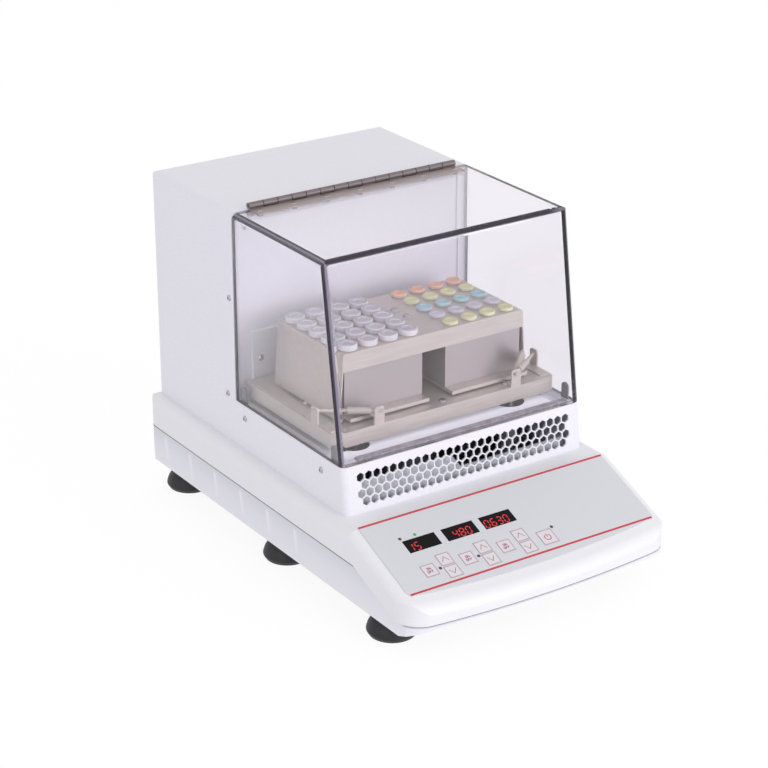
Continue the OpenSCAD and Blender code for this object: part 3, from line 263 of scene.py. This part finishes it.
def plated_screw():
    """Bright nickel plating on a pressed screw head."""
    material, tree, shader = finish("Nickel plated steel", "#B4B0B4", 0.2, 1.0)
    grain(tree, shader, 0.4, "#AEAAAE", "#BAB6BA", (0.16, 0.25), 0.004)
    return material


def turned_steel():
    """Ground steel of shafts and bearings, with fine turning marks along the height."""
    material, tree, shader = finish("Ground steel", "#B9BABF", 0.28, 1.0)
    grain(tree, shader, 0.8, "#B0B1B6", "#C3C4C9", (0.22, 0.34), 0.004, stretch=(0.1, 0.1, 1))
    return material


def cast_aluminium():
    """Sand cast aluminium: a coarse, dull skin."""
    material, tree, shader = finish("Cast aluminium", "#A9ABB0", 0.55, 0.7)
    grain(tree, shader, 1.2, "#A1A3A8", "#B2B4B8", (0.5, 0.62), 0.04)
    return material


def foot_rubber():
    """Moulded rubber: near black, with a soft sheen and dusty spots."""
    colour = bpy.context.scene.shaker_finish.rubber
    material, tree, shader = finish("Moulded rubber", colour, 0.5, IOR=1.52)
    grain(tree, shader, 2.2, tone(colour, -4), tone(colour, 6), (0.44, 0.58), 0.02)
    return material


def black_nylon():
    """Glass-filled nylon: black, matt, with a faint flow grain."""
    material, tree, shader = finish("Glass-filled nylon, black", "#202024", 0.5, IOR=1.53)
    grain(tree, shader, 1.0, "#1C1C20", "#27272B", (0.45, 0.58), 0.015)
    return material


def grey_acetal():
    """Acetal, turned or moulded: dense mid grey with a low sheen."""
    material, tree, shader = finish("Acetal, grey", "#67656D", 0.42, IOR=1.48)
    grain(tree, shader, 0.9, "#605E66", "#6F6D75", (0.38, 0.48), 0.01)
    return material


def speckled_gasket():
    """Closed-cell silicone sponge: grey violet with darker cells about 4 mm apart."""
    material, tree, shader = finish("Silicone sponge", "#A59FA8", 0.6, IOR=1.43)
    grain(tree, shader, 4.0, "#8A838C", "#B9B3BC", (0.55, 0.68), 0.05, detail=5.0)
    return material


def overlay_film():
    """Polyester overlay film, printed on the back: matt, cool light grey."""
    colour = bpy.context.scene.shaker_finish.film
    material, tree, shader = finish("Polyester overlay film", colour, 0.46, IOR=1.6)
    grain(tree, shader, 0.5, tone(colour, -3), tone(colour, 3), (0.43, 0.52), 0.006)
    return material


def key_film():
    """Embossed key of the same film over a pinkish white print."""
    material, tree, shader = finish("Embossed key film", "#DFDBE1", 0.4, IOR=1.6)
    grain(tree, shader, 0.5, "#DCD8DE", "#E2DEE4", (0.36, 0.46), 0.006)
    return material


def smoked_window():
    """Smoked acrylic window: nearly black red, polished."""
    material, tree, shader = finish("Smoked acrylic window", "#0B0507", 0.12, IOR=1.49, Specular_IOR_Level=0.12)
    grain(tree, shader, 6.0, "#090406", "#0E070A", (0.1, 0.16), 0.002)
    return material


def lamp_lens():
    """Diffusing lenses: the one at the far left glows red, its neighbour green, the rest are dark."""
    material, tree, shader = finish("Diffusing lamp lens", "#3A3236", 0.35, IOR=1.49)
    x, y, _ = parts_of(tree)
    lit = ramp(tree, span(tree, x, -0.1, -0.07), [(0.0, "#7A2A34"), (0.4, "#5CB04A")], "CONSTANT")
    over_the_displays = maths(tree, "GREATER_THAN", y, -0.15)
    shade = blend(tree, over_the_displays, "#4A4448", lit)
    tree.links.new(shade, shader.inputs["Base Color"])
    return material


def board_laminate():
    """Glass-epoxy laminate with a green solder mask."""
    material, tree, shader = finish("Glass-epoxy laminate", "#2C6A45", 0.4, IOR=1.55)
    grain(tree, shader, 1.2, "#27613E", "#31734C", (0.35, 0.48), 0.01)
    return material


def motor_enamel():
    """Dark baked enamel over rolled steel."""
    material, tree, shader = finish("Baked enamel, charcoal", "#46484E", 0.45, IOR=1.5)
    grain(tree, shader, 1.4, "#404248", "#4D4F55", (0.4, 0.52), 0.015)
    return material


def copper_fins():
    """Rolled copper alloy fins with heat tint."""
    material, tree, shader = finish("Copper alloy fins", "#A8794A", 0.35, 0.9)
    grain(tree, shader, 8.0, "#9A6C44", "#B48855", (0.3, 0.42), 0.005)
    return material


def frosted_polypropylene():
    """Polypropylene screw caps, natural: grey lilac and milky on the flat top, with a painted
    highlight that pales the rim and skirt, where the object-space normal turns away from the upright."""
    colour = bpy.context.scene.shaker_finish.caps
    material, tree, shader = finish(
        "Polypropylene, natural", colour, 0.36, IOR=1.49, Subsurface_Weight=0.15, Subsurface_Scale=0.002
    )
    grain(tree, shader, 3.0, tone(colour, -6), tone(colour, 6), (0.3, 0.44), 0.02)
    # Painted highlight: paler where the normal turns away from the upright
    rim = span(tree, parts_of(tree, "Normal")[2], 0.97, 0.8)
    repaint(tree, shader, rim, "#E2E0E5")
    return material


def row_colours():
    """Polypropylene caps, one pigment to each row along Y, front row first, with rims paled by a painted
    highlight.
    """
    material, tree, shader = finish(
        "Polypropylene, pigmented", "#E3E0A0", 0.34, IOR=1.49, Subsurface_Weight=0.12, Subsurface_Scale=0.002
    )
    place = add(tree, "ShaderNodeTexCoord").outputs["Object"]
    noise = add(tree, "ShaderNodeTexNoise", {"Vector": place, "Scale": 330.0}).outputs["Fac"]
    tree.links.new(span(tree, noise, 0, 1, 0.28, 0.42), shader.inputs["Roughness"])
    low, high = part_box("small_tubes")
    rows = bpy.context.scene.shaker_finish.rows.split()
    stops = [(i / len(rows), code) for i, code in enumerate(rows)]
    pigment = ramp(tree, span(tree, parts_of(tree)[1], low[1], high[1]), stops, "CONSTANT")
    # Painted highlight: rims paler where the normal turns away from the upright
    rim = span(tree, parts_of(tree, "Normal")[2], 0.97, 0.7, 0, 0.4)
    tree.links.new(blend(tree, rim, pigment, "#F2F0F2"), shader.inputs["Base Color"])
    return material


def clear_acrylic():
    """Cast acrylic sheet, 5 mm: clear with a violet cast. The bends and the sawn rear edge carry
    painted shade, an opaque dark violet mixed over the glass where light would leave them
    sideways, with a painted pale highlight between the two halves of a bend.
    A bend is where no outward direction of the three panes takes more than 0.9 of the normal.
    The sawn lower edge carries a painted dark line, weaker in front, and the painted shade on the
    right-hand bends is greyer. Shadow rays pass, so the chamber stays lit."""
    material, tree, shader = finish("Cast acrylic sheet", "#F8F6FA", 0.02, IOR=1.49, Transmission_Weight=1.0)
    normal = add(tree, "ShaderNodeTexCoord").outputs["Normal"]
    low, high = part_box("lid_shell")
    rear_line, foot_line, full = 0.0012, 0.0011, 0.0006
    panes = []
    for across in ((1, 0, 0), (0, -math.cos(LEAN), math.sin(LEAN)), (0, 0, 1)):
        turn = add(tree, "ShaderNodeVectorMath", {0: normal, 1: across}, operation="DOT_PRODUCT")
        panes.append(maths(tree, "ABSOLUTE", turn.outputs["Value"]))
    most = maths(tree, "MAXIMUM", maths(tree, "MAXIMUM", panes[0], panes[1]), panes[2])
    bend = span(tree, most, 0.93, 0.88)
    x, y, z = parts_of(tree)
    rear = span(tree, y, high[1] - rear_line, high[1] - full)
    foot = span(tree, z, low[2] + foot_line, low[2] + full)
    foot = maths(tree, "MULTIPLY", foot, span(tree, panes[0], 0, 0.7, 0.45, 1))
    edge = maths(tree, "MAXIMUM", maths(tree, "MAXIMUM", bend, rear), foot)
    # Painted shade on the bends and edges: 0.85 of an opaque dark violet over the glass, with a painted pale
    # highlight between the halves of a bend
    share = maths(tree, "MULTIPLY", edge, 0.85)
    dark, pale = "#2C2436", "#8E879C"
    violet = ramp(tree, panes[0], [(0.0, dark), (0.2, dark), (0.3, pale), (0.66, pale), (0.74, "#372E44")])
    tint = blend(tree, span(tree, x, 0.1, 0.11, 0, 0.85), violet, "#7F7A88")
    painted_edge_shade = add(tree, "ShaderNodeBsdfPrincipled", {"Base Color": tint, "Roughness": 0.2}).outputs[0]
    both = add(tree, "ShaderNodeMixShader", {0: share, 1: shader.outputs[0], 2: painted_edge_shade}).outputs[0]
    shadow = add(tree, "ShaderNodeLightPath").outputs["Is Shadow Ray"]
    clear = add(tree, "ShaderNodeBsdfTransparent", {"Color": (0.96, 0.95, 0.97, 1)}).outputs[0]
    both = add(tree, "ShaderNodeMixShader", {0: shadow, 1: both, 2: clear}).outputs[0]
    tree.links.new(both, tree.nodes["Material Output"].inputs["Surface"])
    return material


def glowing_red(colour):
    """Lit seven-segment diodes behind the window."""
    material, tree, shader = finish(
        "Red light-emitting segments", "#7A141C", 0.4, Emission_Strength=0.7, Emission_Color=from_hex(colour)
    )
    grain(tree, shader, 1.0, "#741219", "#801720", (0.36, 0.44), 0.002)
    return material


def ink(name, colour):
    """Screen-printed ink: flat, dense, slightly glossier than the film."""
    material, tree, shader = finish(name, colour, 0.38, IOR=1.5)
    place = add(tree, "ShaderNodeTexCoord").outputs["Object"]
    noise = add(tree, "ShaderNodeTexNoise", {"Vector": place, "Scale": 1600.0}).outputs["Fac"]
    tree.links.new(span(tree, noise, 0, 1, 0.34, 0.42), shader.inputs["Roughness"])
    return material


def wear(names, material):
    """Gives a finish to solids that keep their own shape."""
    for name in names:
        slots = solids[name].data.materials
        slots.clear()
        slots.append(material)


def make(name, points, faces, material, body):
    """A new piece from an array of points and a list of faces, riding on a body."""
    mesh = bpy.data.meshes.new(name)
    mesh.from_pydata(np.asarray(points, float).tolist(), [], faces)
    mesh.update()
    piece = bpy.data.objects.new(name, mesh)
    bpy.context.scene.collection.objects.link(piece)
    mesh.materials.append(material)
    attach(piece, body)
    return piece


def galvanised_sheet():
    """Hot-dip galvanised sheet: flat grey with a broad, faint spangle."""
    material, tree, shader = finish("Galvanised sheet", "#BDBEC6", 0.55, 0.2)
    grain(tree, shader, 6.0, "#B4B5BD", "#C6C7CF", (0.5, 0.6), 0.01)
    return material


def on_panel(flat, height):
    """Puts points (across, down the slope) and a height over the panel into the frame:
    y falls by s cos(tilt) + h sin(tilt), and z by s sin(tilt) - h cos(tilt)."""
    sizes = bpy.context.scene.shaker_panel
    tilt = sizes.tilt
    flat = np.asarray(flat, float)
    high = np.broadcast_to(np.asarray(height, float), flat.shape[:1])
    y = sizes.fold_y - flat[:, 1] * math.cos(tilt) - high * math.sin(tilt)
    z = sizes.fold_z - flat[:, 1] * math.sin(tilt) + high * math.cos(tilt)
    return np.stack([flat[:, 0], y, z], 1)


def panel_plates(name, outlines, low, high, material, body="case", slot="overlay"):
    """Thin closed plates on the panel: each outline is swept from one height to another.
    Outlines run anticlockwise as seen from above, with s pointing towards the user."""
    points, faces, start = [], [], 0
    for outline in outlines:
        ring = np.asarray(outline, float) * MM
        turn = np.sum(ring[:, 0] * np.roll(ring[:, 1], -1) - np.roll(ring[:, 0], -1) * ring[:, 1])
        ring = ring if turn < 0 else ring[::-1]
        n = len(ring)
        points += [on_panel(ring, low * MM), on_panel(ring, high * MM)]
        around = np.arange(n)
        after = (around + 1) % n
        walls = np.stack([around, after, after + n, around + n], 1) + start
        faces += walls.tolist()
        faces += [(around[::-1] + start).tolist(), (around + n + start).tolist()]
        start += 2 * n
    return make(name, np.concatenate(points), faces, material, body)


def panel_ribbons(name, lines, width, low, high, material, body="case", slot="overlay"):
    """Flat printed lines on the panel: each polyline becomes a closed band with mitred bends.
    At a bend the edge moves by (n1 + n2) / (1 + n1 . n2) half-widths, n1 and n2 being the
    normals of the two runs; a polyline whose ends meet becomes a ring."""
    points, faces, start = [], [], 0
    for line in lines:
        path = np.asarray(line, float)
        ring = np.allclose(path[0], path[-1])
        path = path[:-1] if ring else path
        n = len(path)
        run = np.roll(path, -1, 0) - path
        side = np.stack([-run[:, 1], run[:, 0]], 1) / np.linalg.norm(run, axis=1, keepdims=True)
        before = np.roll(side, 1, 0)
        if not ring:
            before[0] = side[0]
            side[-1] = before[-1]
        mitre = (side + before) / (1 + np.sum(side * before, 1, keepdims=True)) * width / 2
        for edge in (path + mitre, path - mitre):
            points += [on_panel(edge * MM, low * MM), on_panel(edge * MM, high * MM)]
        i = np.arange(n if ring else n - 1) + start
        j = (i - start + 1) % n + start
        a, up, b, top = 0, n, 2 * n, 3 * n
        for quad in (
            (i + up, j + up, j + top, i + top), (j + up, i + up, i + a, j + a),
            (i + top, j + top, j + b, i + b), (i + a, i + b, j + b, j + a),
        ):
            faces += np.stack(quad, 1).tolist()
        if not ring:
            last = start + n - 1
            faces.append([start + up, start + top, start + b, start + a])
            faces.append([last + top, last + up, last + a, last + b])
        start += 4 * n
    return make(name, np.concatenate(points), faces, material, body)


# Lowest and highest point of the print over the panel's slope, in mm
ON_WINDOW, ON_FILM, ON_KEY = (0.72, 0.8), (0.8, 0.9), (0.96, 1.04)
# Bars that are lit for each figure
SEGMENTS = {"0": "abcdef", "1": "bc", "3": "abgcd", "4": "fgbc", "5": "afgcd", "6": "afgedc", "8": "abcdefg"}
# Strokes of the capitals on the on-off keys, in a cell one wide and one high
CAPITALS = {
    "O": [[(0, 0), (1, 0), (1, 1), (0, 1), (0, 0)]],
    "N": [[(0, 1), (0, 0), (1, 1), (1, 0)]],
    "F": [[(0, 1), (0, 0), (1, 0)], [(0, 0.5), (0.8, 0.5)]],
}


def digit(text, places, x, s, height, pitch):
    """Seven-segment bars of a number whose figures stand on the given places of four. A bar
    is a hexagon with pointed ends, laid along one side of a cell, and all lean by a tenth."""
    width, thick, half, slant = height * 0.5, height * 0.07, height / 2, 0.1
    centres = {
        "a": (0, -half, 0), "g": (0, 0, 0), "d": (0, half, 0), "f": (-width / 2, -half / 2, 1),
        "b": (width / 2, -half / 2, 1), "e": (-width / 2, half / 2, 1), "c": (width / 2, half / 2, 1),
    }
    bars = []
    for letter, place in zip(text, places):
        for key in SEGMENTS[letter]:
            px, ps, upright = centres[key]
            run = (half if upright else width) / 2 - thick * 0.6
            bar = np.array([(-run, 0), (-run + thick, thick), (run - thick, thick)])
            bar = np.concatenate([bar, -bar])
            bar = bar[:, ::-1] if upright else bar
            lean = -(bar[:, 1] + ps) * slant
            bars.append(bar + (x + (place - 1.5) * pitch + px, s + ps) + np.stack([lean, lean * 0], 1))
    return bars


def letters(word, x, s, height):
    """Stroke capitals of a short word, centred on x and s."""
    wide, pitch = height * 0.7, height * 1.05
    left = x - (pitch * (len(word) - 1) + wide) / 2
    return [
        [(left + i * pitch + px * wide, s + (ps - 0.5) * height) for px, ps in line]
        for i, letter in enumerate(word)
        for line in CAPITALS[letter]
    ]


class ShakerPanelSizes(bpy.types.PropertyGroup):
    """Sizes of the control panel's print."""

    tilt: FloatProperty(
        name="Panel slope", description="Slope of the control panel", default=math.radians(22), subtype="ANGLE"
    )
    fold_y: FloatProperty(
        name="Fold", description="Where the panel starts, front to rear", default=-0.1175, unit="LENGTH"
    )
    fold_z: FloatProperty(name="Fold height", description="Height of the fold", default=0.088, unit="LENGTH")
    digit_height: FloatProperty(
        name="Digit height", description="Height of a lit digit", default=0.0076, unit="LENGTH"
    )
    digit_pitch: FloatProperty(
        name="Digit pitch", description="From one lit digit to the next", default=0.0062, unit="LENGTH"
    )
    rule_width: FloatProperty(
        name="Rule width", description="Width of the red rules", default=0.0019, unit="LENGTH"
    )
    line_width: FloatProperty(
        name="Line width", description="Width of the keys' printed lines", default=0.0005, unit="LENGTH"
    )
    group_pitch: FloatProperty(
        name="Group pitch", description="From one group of keys to the next", default=0.0366, unit="LENGTH"
    )
    rule_colour: StringProperty(name="Rule colour", description="Ink of the rules", default="#C83A47")
    frame_colour: StringProperty(name="Frame colour", description="Ink of the keys' frames", default="#C695A0")
    mark_colour: StringProperty(name="Mark colour", description="Ink of arrows and words", default="#9C4F5A")
    digit_colour: StringProperty(name="Digit colour", description="Lit segments", default="#DE2B34")


class ShakerVentSizes(bpy.types.PropertyGroup):
    """The sheet standing on the deck behind the vents, taller on the left."""

    half_width: FloatProperty(
        name="Half width", description="From the middle to one end", default=0.104, unit="LENGTH"
    )
    height: FloatProperty(
        name="Height", description="Height over the deck on the left", default=0.0225, unit="LENGTH"
    )
    low_height: FloatProperty(
        name="Low height", description="Height on the right", default=0.0115, unit="LENGTH"
    )
    sheet: FloatProperty(name="Sheet", description="Thickness of the sheet", default=0.001, unit="LENGTH")
    gap: FloatProperty(name="Gap", description="From the front wall's outside", default=0.0065, unit="LENGTH")
    foot: FloatProperty(name="Foot", description="Height of the deck", default=0.088, unit="LENGTH")


def vent_screen(sizes):
    """A sheet parallel to the leaning front wall, with a short slope between its two heights."""
    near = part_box("housing_cover")[0][1] + sizes.gap
    wide, tall, low = sizes.half_width, sizes.height, sizes.low_height
    slope_low, slope_high = -0.002, -0.01
    outline = np.array([(-wide, 0), (wide, 0), (wide, low), (slope_low, low), (slope_high, tall), (-wide, tall)])
    front = np.stack([outline[:, 0], near + outline[:, 1] * math.tan(LEAN), sizes.foot + outline[:, 1]], 1)
    n = len(front)
    walls = [[i, i + n, (i + 1) % n + n, (i + 1) % n] for i in range(n)]
    faces = [list(range(n)), list(range(2 * n - 1, n - 1, -1))] + walls
    corners = np.concatenate([front, front + (0, sizes.sheet, 0)])
    return make("vent_screen", corners, faces, galvanised_sheet(), "case")


class ShakerFinishColours(bpy.types.PropertyGroup):
    """Colours of the main finishes, as sRGB hex values."""

    shell: StringProperty(name="Upper shell", description="Plastic of the deck and panel", default="#ECEBF0")
    tub: StringProperty(name="Lower shell", description="Plastic of the tub", default="#E4E3EB")
    coat: StringProperty(name="Housing", description="Paint of the housing", default="#EAE8F1")
    steel: StringProperty(name="Stainless", description="Tray, rack and clamps", default="#CEC5C0")
    blocks: StringProperty(name="Tube blocks", description="Blasted aluminium", default="#B4ACAD")
    film: StringProperty(name="Overlay", description="Film of the control panel", default="#D6D7DD")
    rubber: StringProperty(name="Feet", description="Rubber of the feet", default="#151419")
    caps: StringProperty(name="Wide caps", description="Caps of the wide tubes", default="#BFBCC5")
    rows: StringProperty(
        name="Cap rows", description="Small caps, from the front row to the rear",
        default="#DAD79C #C5C3D0 #9CC8D1 #DAD8A4 #E8AE90",
    )


class ShakerStageSizes(bpy.types.PropertyGroup):
    """Camera and lamps."""

    lens: FloatProperty(name="Lens", description="Focal length on a 36 mm sensor", default=108.0)
    azimuth: FloatProperty(
        name="Azimuth", description="Turn of the camera about the upright",
        default=math.radians(-33.942), subtype="ANGLE",
    )
    elevation: FloatProperty(
        name="Elevation", description="Height angle of the camera", default=math.radians(23.311), subtype="ANGLE"
    )
    place: FloatVectorProperty(
        name="Place", description="Where the camera stands", default=(-1.0007, -1.4616, 0.9029), subtype="XYZ"
    )
    sky: FloatProperty(name="Sky", description="Strength of the even light", default=0.77)
    key: FloatProperty(name="Key lamp", description="Power of the key lamp", default=24.0, unit="POWER")
    fill: FloatProperty(name="Fill lamp", description="Power of the fill lamp", default=5.0, unit="POWER")
    chamber: FloatProperty(
        name="Chamber lamp", description="Power of the lamp on the pan", default=24.0, unit="POWER"
    )


def area_lamp(name, power, size, spot, target):
    """A square lamp of one size, standing at a spot and turned to a target."""
    data = bpy.data.lights.new(name, "AREA")
    data.energy = power
    data.size = size
    lamp = bpy.data.objects.new(name, data)
    lamp.location = spot
    lamp.rotation_euler = (Vector(target) - Vector(spot)).to_track_quat("-Z", "Y").to_euler()
    bpy.context.scene.collection.objects.link(lamp)
    return lamp


def paper_floor():
    """A wide sheet that keeps most of its white, also in the object's shade, where it is seen."""
    half, own_light, strength = 6.0, 0.86, 1.04
    corners = [(-half, -half, 0), (half, -half, 0), (half, half, 0), (-half, half, 0)]
    mesh = bpy.data.meshes.new("Studio floor")
    mesh.from_pydata(corners, [], [(0, 1, 2, 3)])
    floor = bpy.data.objects.new("Studio floor", mesh)
    bpy.context.scene.collection.objects.link(floor)
    material, tree, shader = finish("White paper floor", "#F4F4F6", 0.9)
    share = maths(tree, "MULTIPLY", seen_plainly(tree), own_light)
    white = add(tree, "ShaderNodeEmission", {"Color": (1, 1, 1, 1), "Strength": strength})
    both = add(tree, "ShaderNodeMixShader", {0: share, 1: shader.outputs[0], 2: white.outputs[0]})
    tree.links.new(both.outputs[0], tree.nodes["Material Output"].inputs["Surface"])
    mesh.materials.append(material)


def even_sky(strength):
    """A white world: full white where it is seen, and the given strength where it lights."""
    world = bpy.data.worlds.new("Even sky")
    bpy.context.scene.world = world
    world.use_nodes = True
    tree = world.node_tree
    back = tree.nodes["Background"]
    back.inputs["Color"].default_value = (1, 1, 1, 1)
    tree.links.new(span(tree, seen_plainly(tree), 0, 1, strength, 1), back.inputs["Strength"])


def pan_lamp(power):
    """A lamp that lights the chamber's pan alone, in front of the tray and below it."""
    lamp = area_lamp("Chamber lamp", power, 0.5, (0, -1.1, 0.75), (0, -0.08, 0.12))
    lit = bpy.data.collections.new("Chamber light receivers")
    lit.objects.link(solids["chamber_floor"])
    lamp.light_linking.receiver_collection = lit


def stand_camera(sizes):
    """The camera at its place. Its back points along (sin a cos e, -cos a cos e, sin e),
    a being the azimuth and e the elevation."""
    data = bpy.data.cameras.new("Camera")
    data.lens = sizes.lens
    data.sensor_width = 36.0
    camera = bpy.data.objects.new("Camera", data)
    camera.location = sizes.place
    a, e = sizes.azimuth, sizes.elevation
    back = Vector((math.sin(a) * math.cos(e), -math.cos(a) * math.cos(e), math.sin(e)))
    camera.rotation_euler = (-back).to_track_quat("-Z", "Y").to_euler()
    bpy.context.scene.collection.objects.link(camera)
    bpy.context.scene.camera = camera


class ShakerStage(bpy.types.Operator):
    """Pale floor, soft lamps, a lamp for the pan alone, even sky and the camera"""

    bl_idname = "shaker.stage"
    bl_label = "Studio"

    def execute(self, context):
        sizes = context.scene.shaker_stage
        middle = (0, 0, 0.12)
        paper_floor()
        even_sky(sizes.sky)
        area_lamp("Key lamp", sizes.key, 1.6, (0.9, -2.5, 0.8), middle)
        area_lamp("Fill lamp", sizes.fill, 1.8, (-1.9, -0.9, 1.0), middle)
        pan_lamp(sizes.chamber)
        stand_camera(sizes)
        context.scene.view_settings.view_transform = "Standard"
        return {"FINISHED"}


class ShakerShells(bpy.types.Operator):
    """Finishes of the base, the housing and the chamber"""

    bl_idname = "shaker.shells"
    bl_label = "Base and housing"

    def execute(self, context):
        wear(["deck_shell"], moulded_abs())
        wear(["base_tub"], tub_abs())
        wear(["housing_cover", "rear_panel", "bulkhead"], powder_coat())
        wear(["chamber_floor", "air_baffle"], pan_enamel())
        wear(["rubber_feet"], foot_rubber())
        wear(["lid_locators"], grey_acetal())
        wear(["gasket_strip"], speckled_gasket())
        wear(["power_inlet"], black_nylon())
        vent_screen(context.scene.shaker_vents)
        return {"FINISHED"}


class ShakerLid(bpy.types.Operator):
    """Clear lid and its piano hinge"""

    bl_idname = "shaker.lid"
    bl_label = "Lid and hinge"

    def execute(self, context):
        wear(["lid_shell"], clear_acrylic())
        wear(["hinge_leaf_lid", "hinge_pin"], hinge_steel())
        wear(["hinge_leaf_case"], painted_leaf())
        wear(["hinge_screws", "housing_screws"], plated_screw())
        return {"FINISHED"}


class ShakerRack(bpy.types.Operator):
    """Tray, clamps, rack and tubes"""

    bl_idname = "shaker.rack"
    bl_label = "Tray and rack"

    def execute(self, context):
        steel = satin_stainless()
        wear(["tray", "clamp_rods", "clamp_lever_left", "clamp_lever_right", "rack_base", "rack_cover"], steel)
        wear(["tube_blocks"], block_aluminium())
        wear(["tray_screws", "rack_screws"], plated_screw())
        wear(["large_tubes"], frosted_polypropylene())
        wear(["small_tubes"], row_colours())
        return {"FINISHED"}


class ShakerDrive(bpy.types.Operator):
    """Finishes of the drive, fan and heater inside"""

    bl_idname = "shaker.drive"
    bl_label = "Drive and warm air"

    def execute(self, context):
        wear(["eccentric_shaft", "main_bearings", "carrier_bearings", "counterweight"], turned_steel())
        wear(["guide_crank_left", "guide_crank_right", "guide_crank_rear"], turned_steel())
        wear(["bearing_housing", "guide_posts", "platform_carrier", "chassis_plate"], cast_aluminium())
        wear(["driven_pulley", "motor_pulley", "fan_housing", "fan_impeller"], black_nylon())
        wear(["drive_belt"], foot_rubber())
        wear(["drive_motor"], motor_enamel())
        wear(["heater_block"], copper_fins())
        wear(["control_board"], board_laminate())
        return {"FINISHED"}


def key_frame(name, x, s, half, thin, material):
    """Printed frame just inside the edge of a square key."""
    edge = half - thin * 0.6
    square = [(x - edge, s - edge), (x + edge, s - edge), (x + edge, s + edge), (x - edge, s + edge)]
    panel_ribbons(name + "_frame", [square + square[:1]], thin, *ON_KEY, material, name + "_button", "key")


class ShakerPanelPrint(bpy.types.Operator):
    """Overlay, windows, lit numbers, keys and their printed marks"""

    bl_idname = "shaker.panel_print"
    bl_label = "Control panel"

    def execute(self, context):
        sizes = context.scene.shaker_panel
        wear(["control_overlay"], overlay_film())
        wear(["display_windows"], smoked_window())
        wear(["indicator_lamps"], lamp_lens())
        keys = [name for name in solids if name.endswith("_key")]
        wear(keys, key_film())
        tall, pitch = sizes.digit_height / MM, sizes.digit_pitch / MM
        step = sizes.group_pitch / MM
        numbers = (("15", (0, 1)), ("480", (1, 2, 3)), ("0630", (0, 1, 2, 3)))
        first_x, window_s = -82.4, 33.7
        bars = []
        for group, (figures, cells) in enumerate(numbers):
            bars += digit(figures, cells, first_x + group * step, window_s, tall, pitch)
        panel_plates("lit_numbers", bars, *ON_WINDOW, glowing_red(sizes.digit_colour), slot="window")
        wide, thin = sizes.rule_width / MM, sizes.line_width / MM
        red = ink("Screen ink, red", sizes.rule_colour)
        rules = [[(-121, 0.9), (121, 0.9)], [(-119.2, 76), (119.2, 76)]]
        panel_ribbons("red_rules", rules, wide, *ON_FILM, red)
        frame_ink = ink("Screen ink, pink", sizes.frame_colour)
        mark_ink = ink("Screen ink, dark pink", sizes.mark_colour)
        small_key, power_key, capital, line_drop = 5.9, 7.1, 1.9, 1.6
        first_keys = (("on", -90.7, 59.4), ("up", -72.8, 53.4), ("down", -72.8, 66.6))
        for group, word in enumerate(("temp", "speed", "time")):
            for name, x, s in first_keys:
                x += group * step
                key_frame("%s_%s" % (word, name), x, s, small_key, thin, frame_ink)
                if name == "on":
                    marks = letters("ON", x, s - line_drop, capital) + letters("OFF", x, s + line_drop, capital)
                else:
                    way = 1 if name == "up" else -1
                    marks = [[(x - 3.2, s + way * 2.2), (x, s - way * 2.4), (x + 3.2, s + way * 2.2)]]
                panel_ribbons(
                    "%s_%s_mark" % (word, name), marks, thin, *ON_KEY, mark_ink,
                    "%s_%s_button" % (word, name), "key",
                )
        x, s = 21.3, 63.2
        key_frame("power", x, s, power_key, thin, frame_ink)
        radius, drop, stroke = 2.8, 0.3, 0.75
        turn = np.radians(np.linspace(-60, 240, 31))
        ring = np.stack([x + radius * np.cos(turn), s + drop + radius * np.sin(turn)], 1)
        bar = [(x, s - 3.4), (x, s - 0.1)]
        panel_ribbons("power_mark", [ring, bar], stroke, *ON_KEY, red, "power_button", "key")
        return {"FINISHED"}


class ShakerSidebar(bpy.types.Panel):
    """Lists the steps that dress the shaker"""

    bl_idname = "VIEW3D_PT_shaker"
    bl_label = "Orbital shaker"
    bl_space_type = "VIEW_3D"
    bl_region_type = "UI"
    bl_category = "Shaker"

    def draw(self, context):
        for step in STEPS:
            self.layout.operator(step.bl_idname)


GROUPS = (ShakerPanelSizes, ShakerStageSizes, ShakerVentSizes, ShakerFinishColours)
STEPS = (ShakerStage, ShakerShells, ShakerLid, ShakerRack, ShakerDrive, ShakerPanelPrint)


def register():
    for item in GROUPS + STEPS + (ShakerSidebar,):
        bpy.utils.register_class(item)
    bpy.types.Scene.shaker_panel = PointerProperty(type=ShakerPanelSizes)
    bpy.types.Scene.shaker_stage = PointerProperty(type=ShakerStageSizes)
    bpy.types.Scene.shaker_vents = PointerProperty(type=ShakerVentSizes)
    bpy.types.Scene.shaker_finish = PointerProperty(type=ShakerFinishColours)


def unregister():
    del bpy.types.Scene.shaker_finish
    del bpy.types.Scene.shaker_vents
    del bpy.types.Scene.shaker_stage
    del bpy.types.Scene.shaker_panel
    for item in reversed(GROUPS + STEPS + (ShakerSidebar,)):
        bpy.utils.unregister_class(item)


def main():
    register()
    bpy.ops.shaker.stage()
    bpy.ops.shaker.shells()
    bpy.ops.shaker.lid()
    bpy.ops.shaker.rack()
    bpy.ops.shaker.drive()
    bpy.ops.shaker.panel_print()
    bpy.context.view_layer.update()


if __name__ == "__main__":
    main()
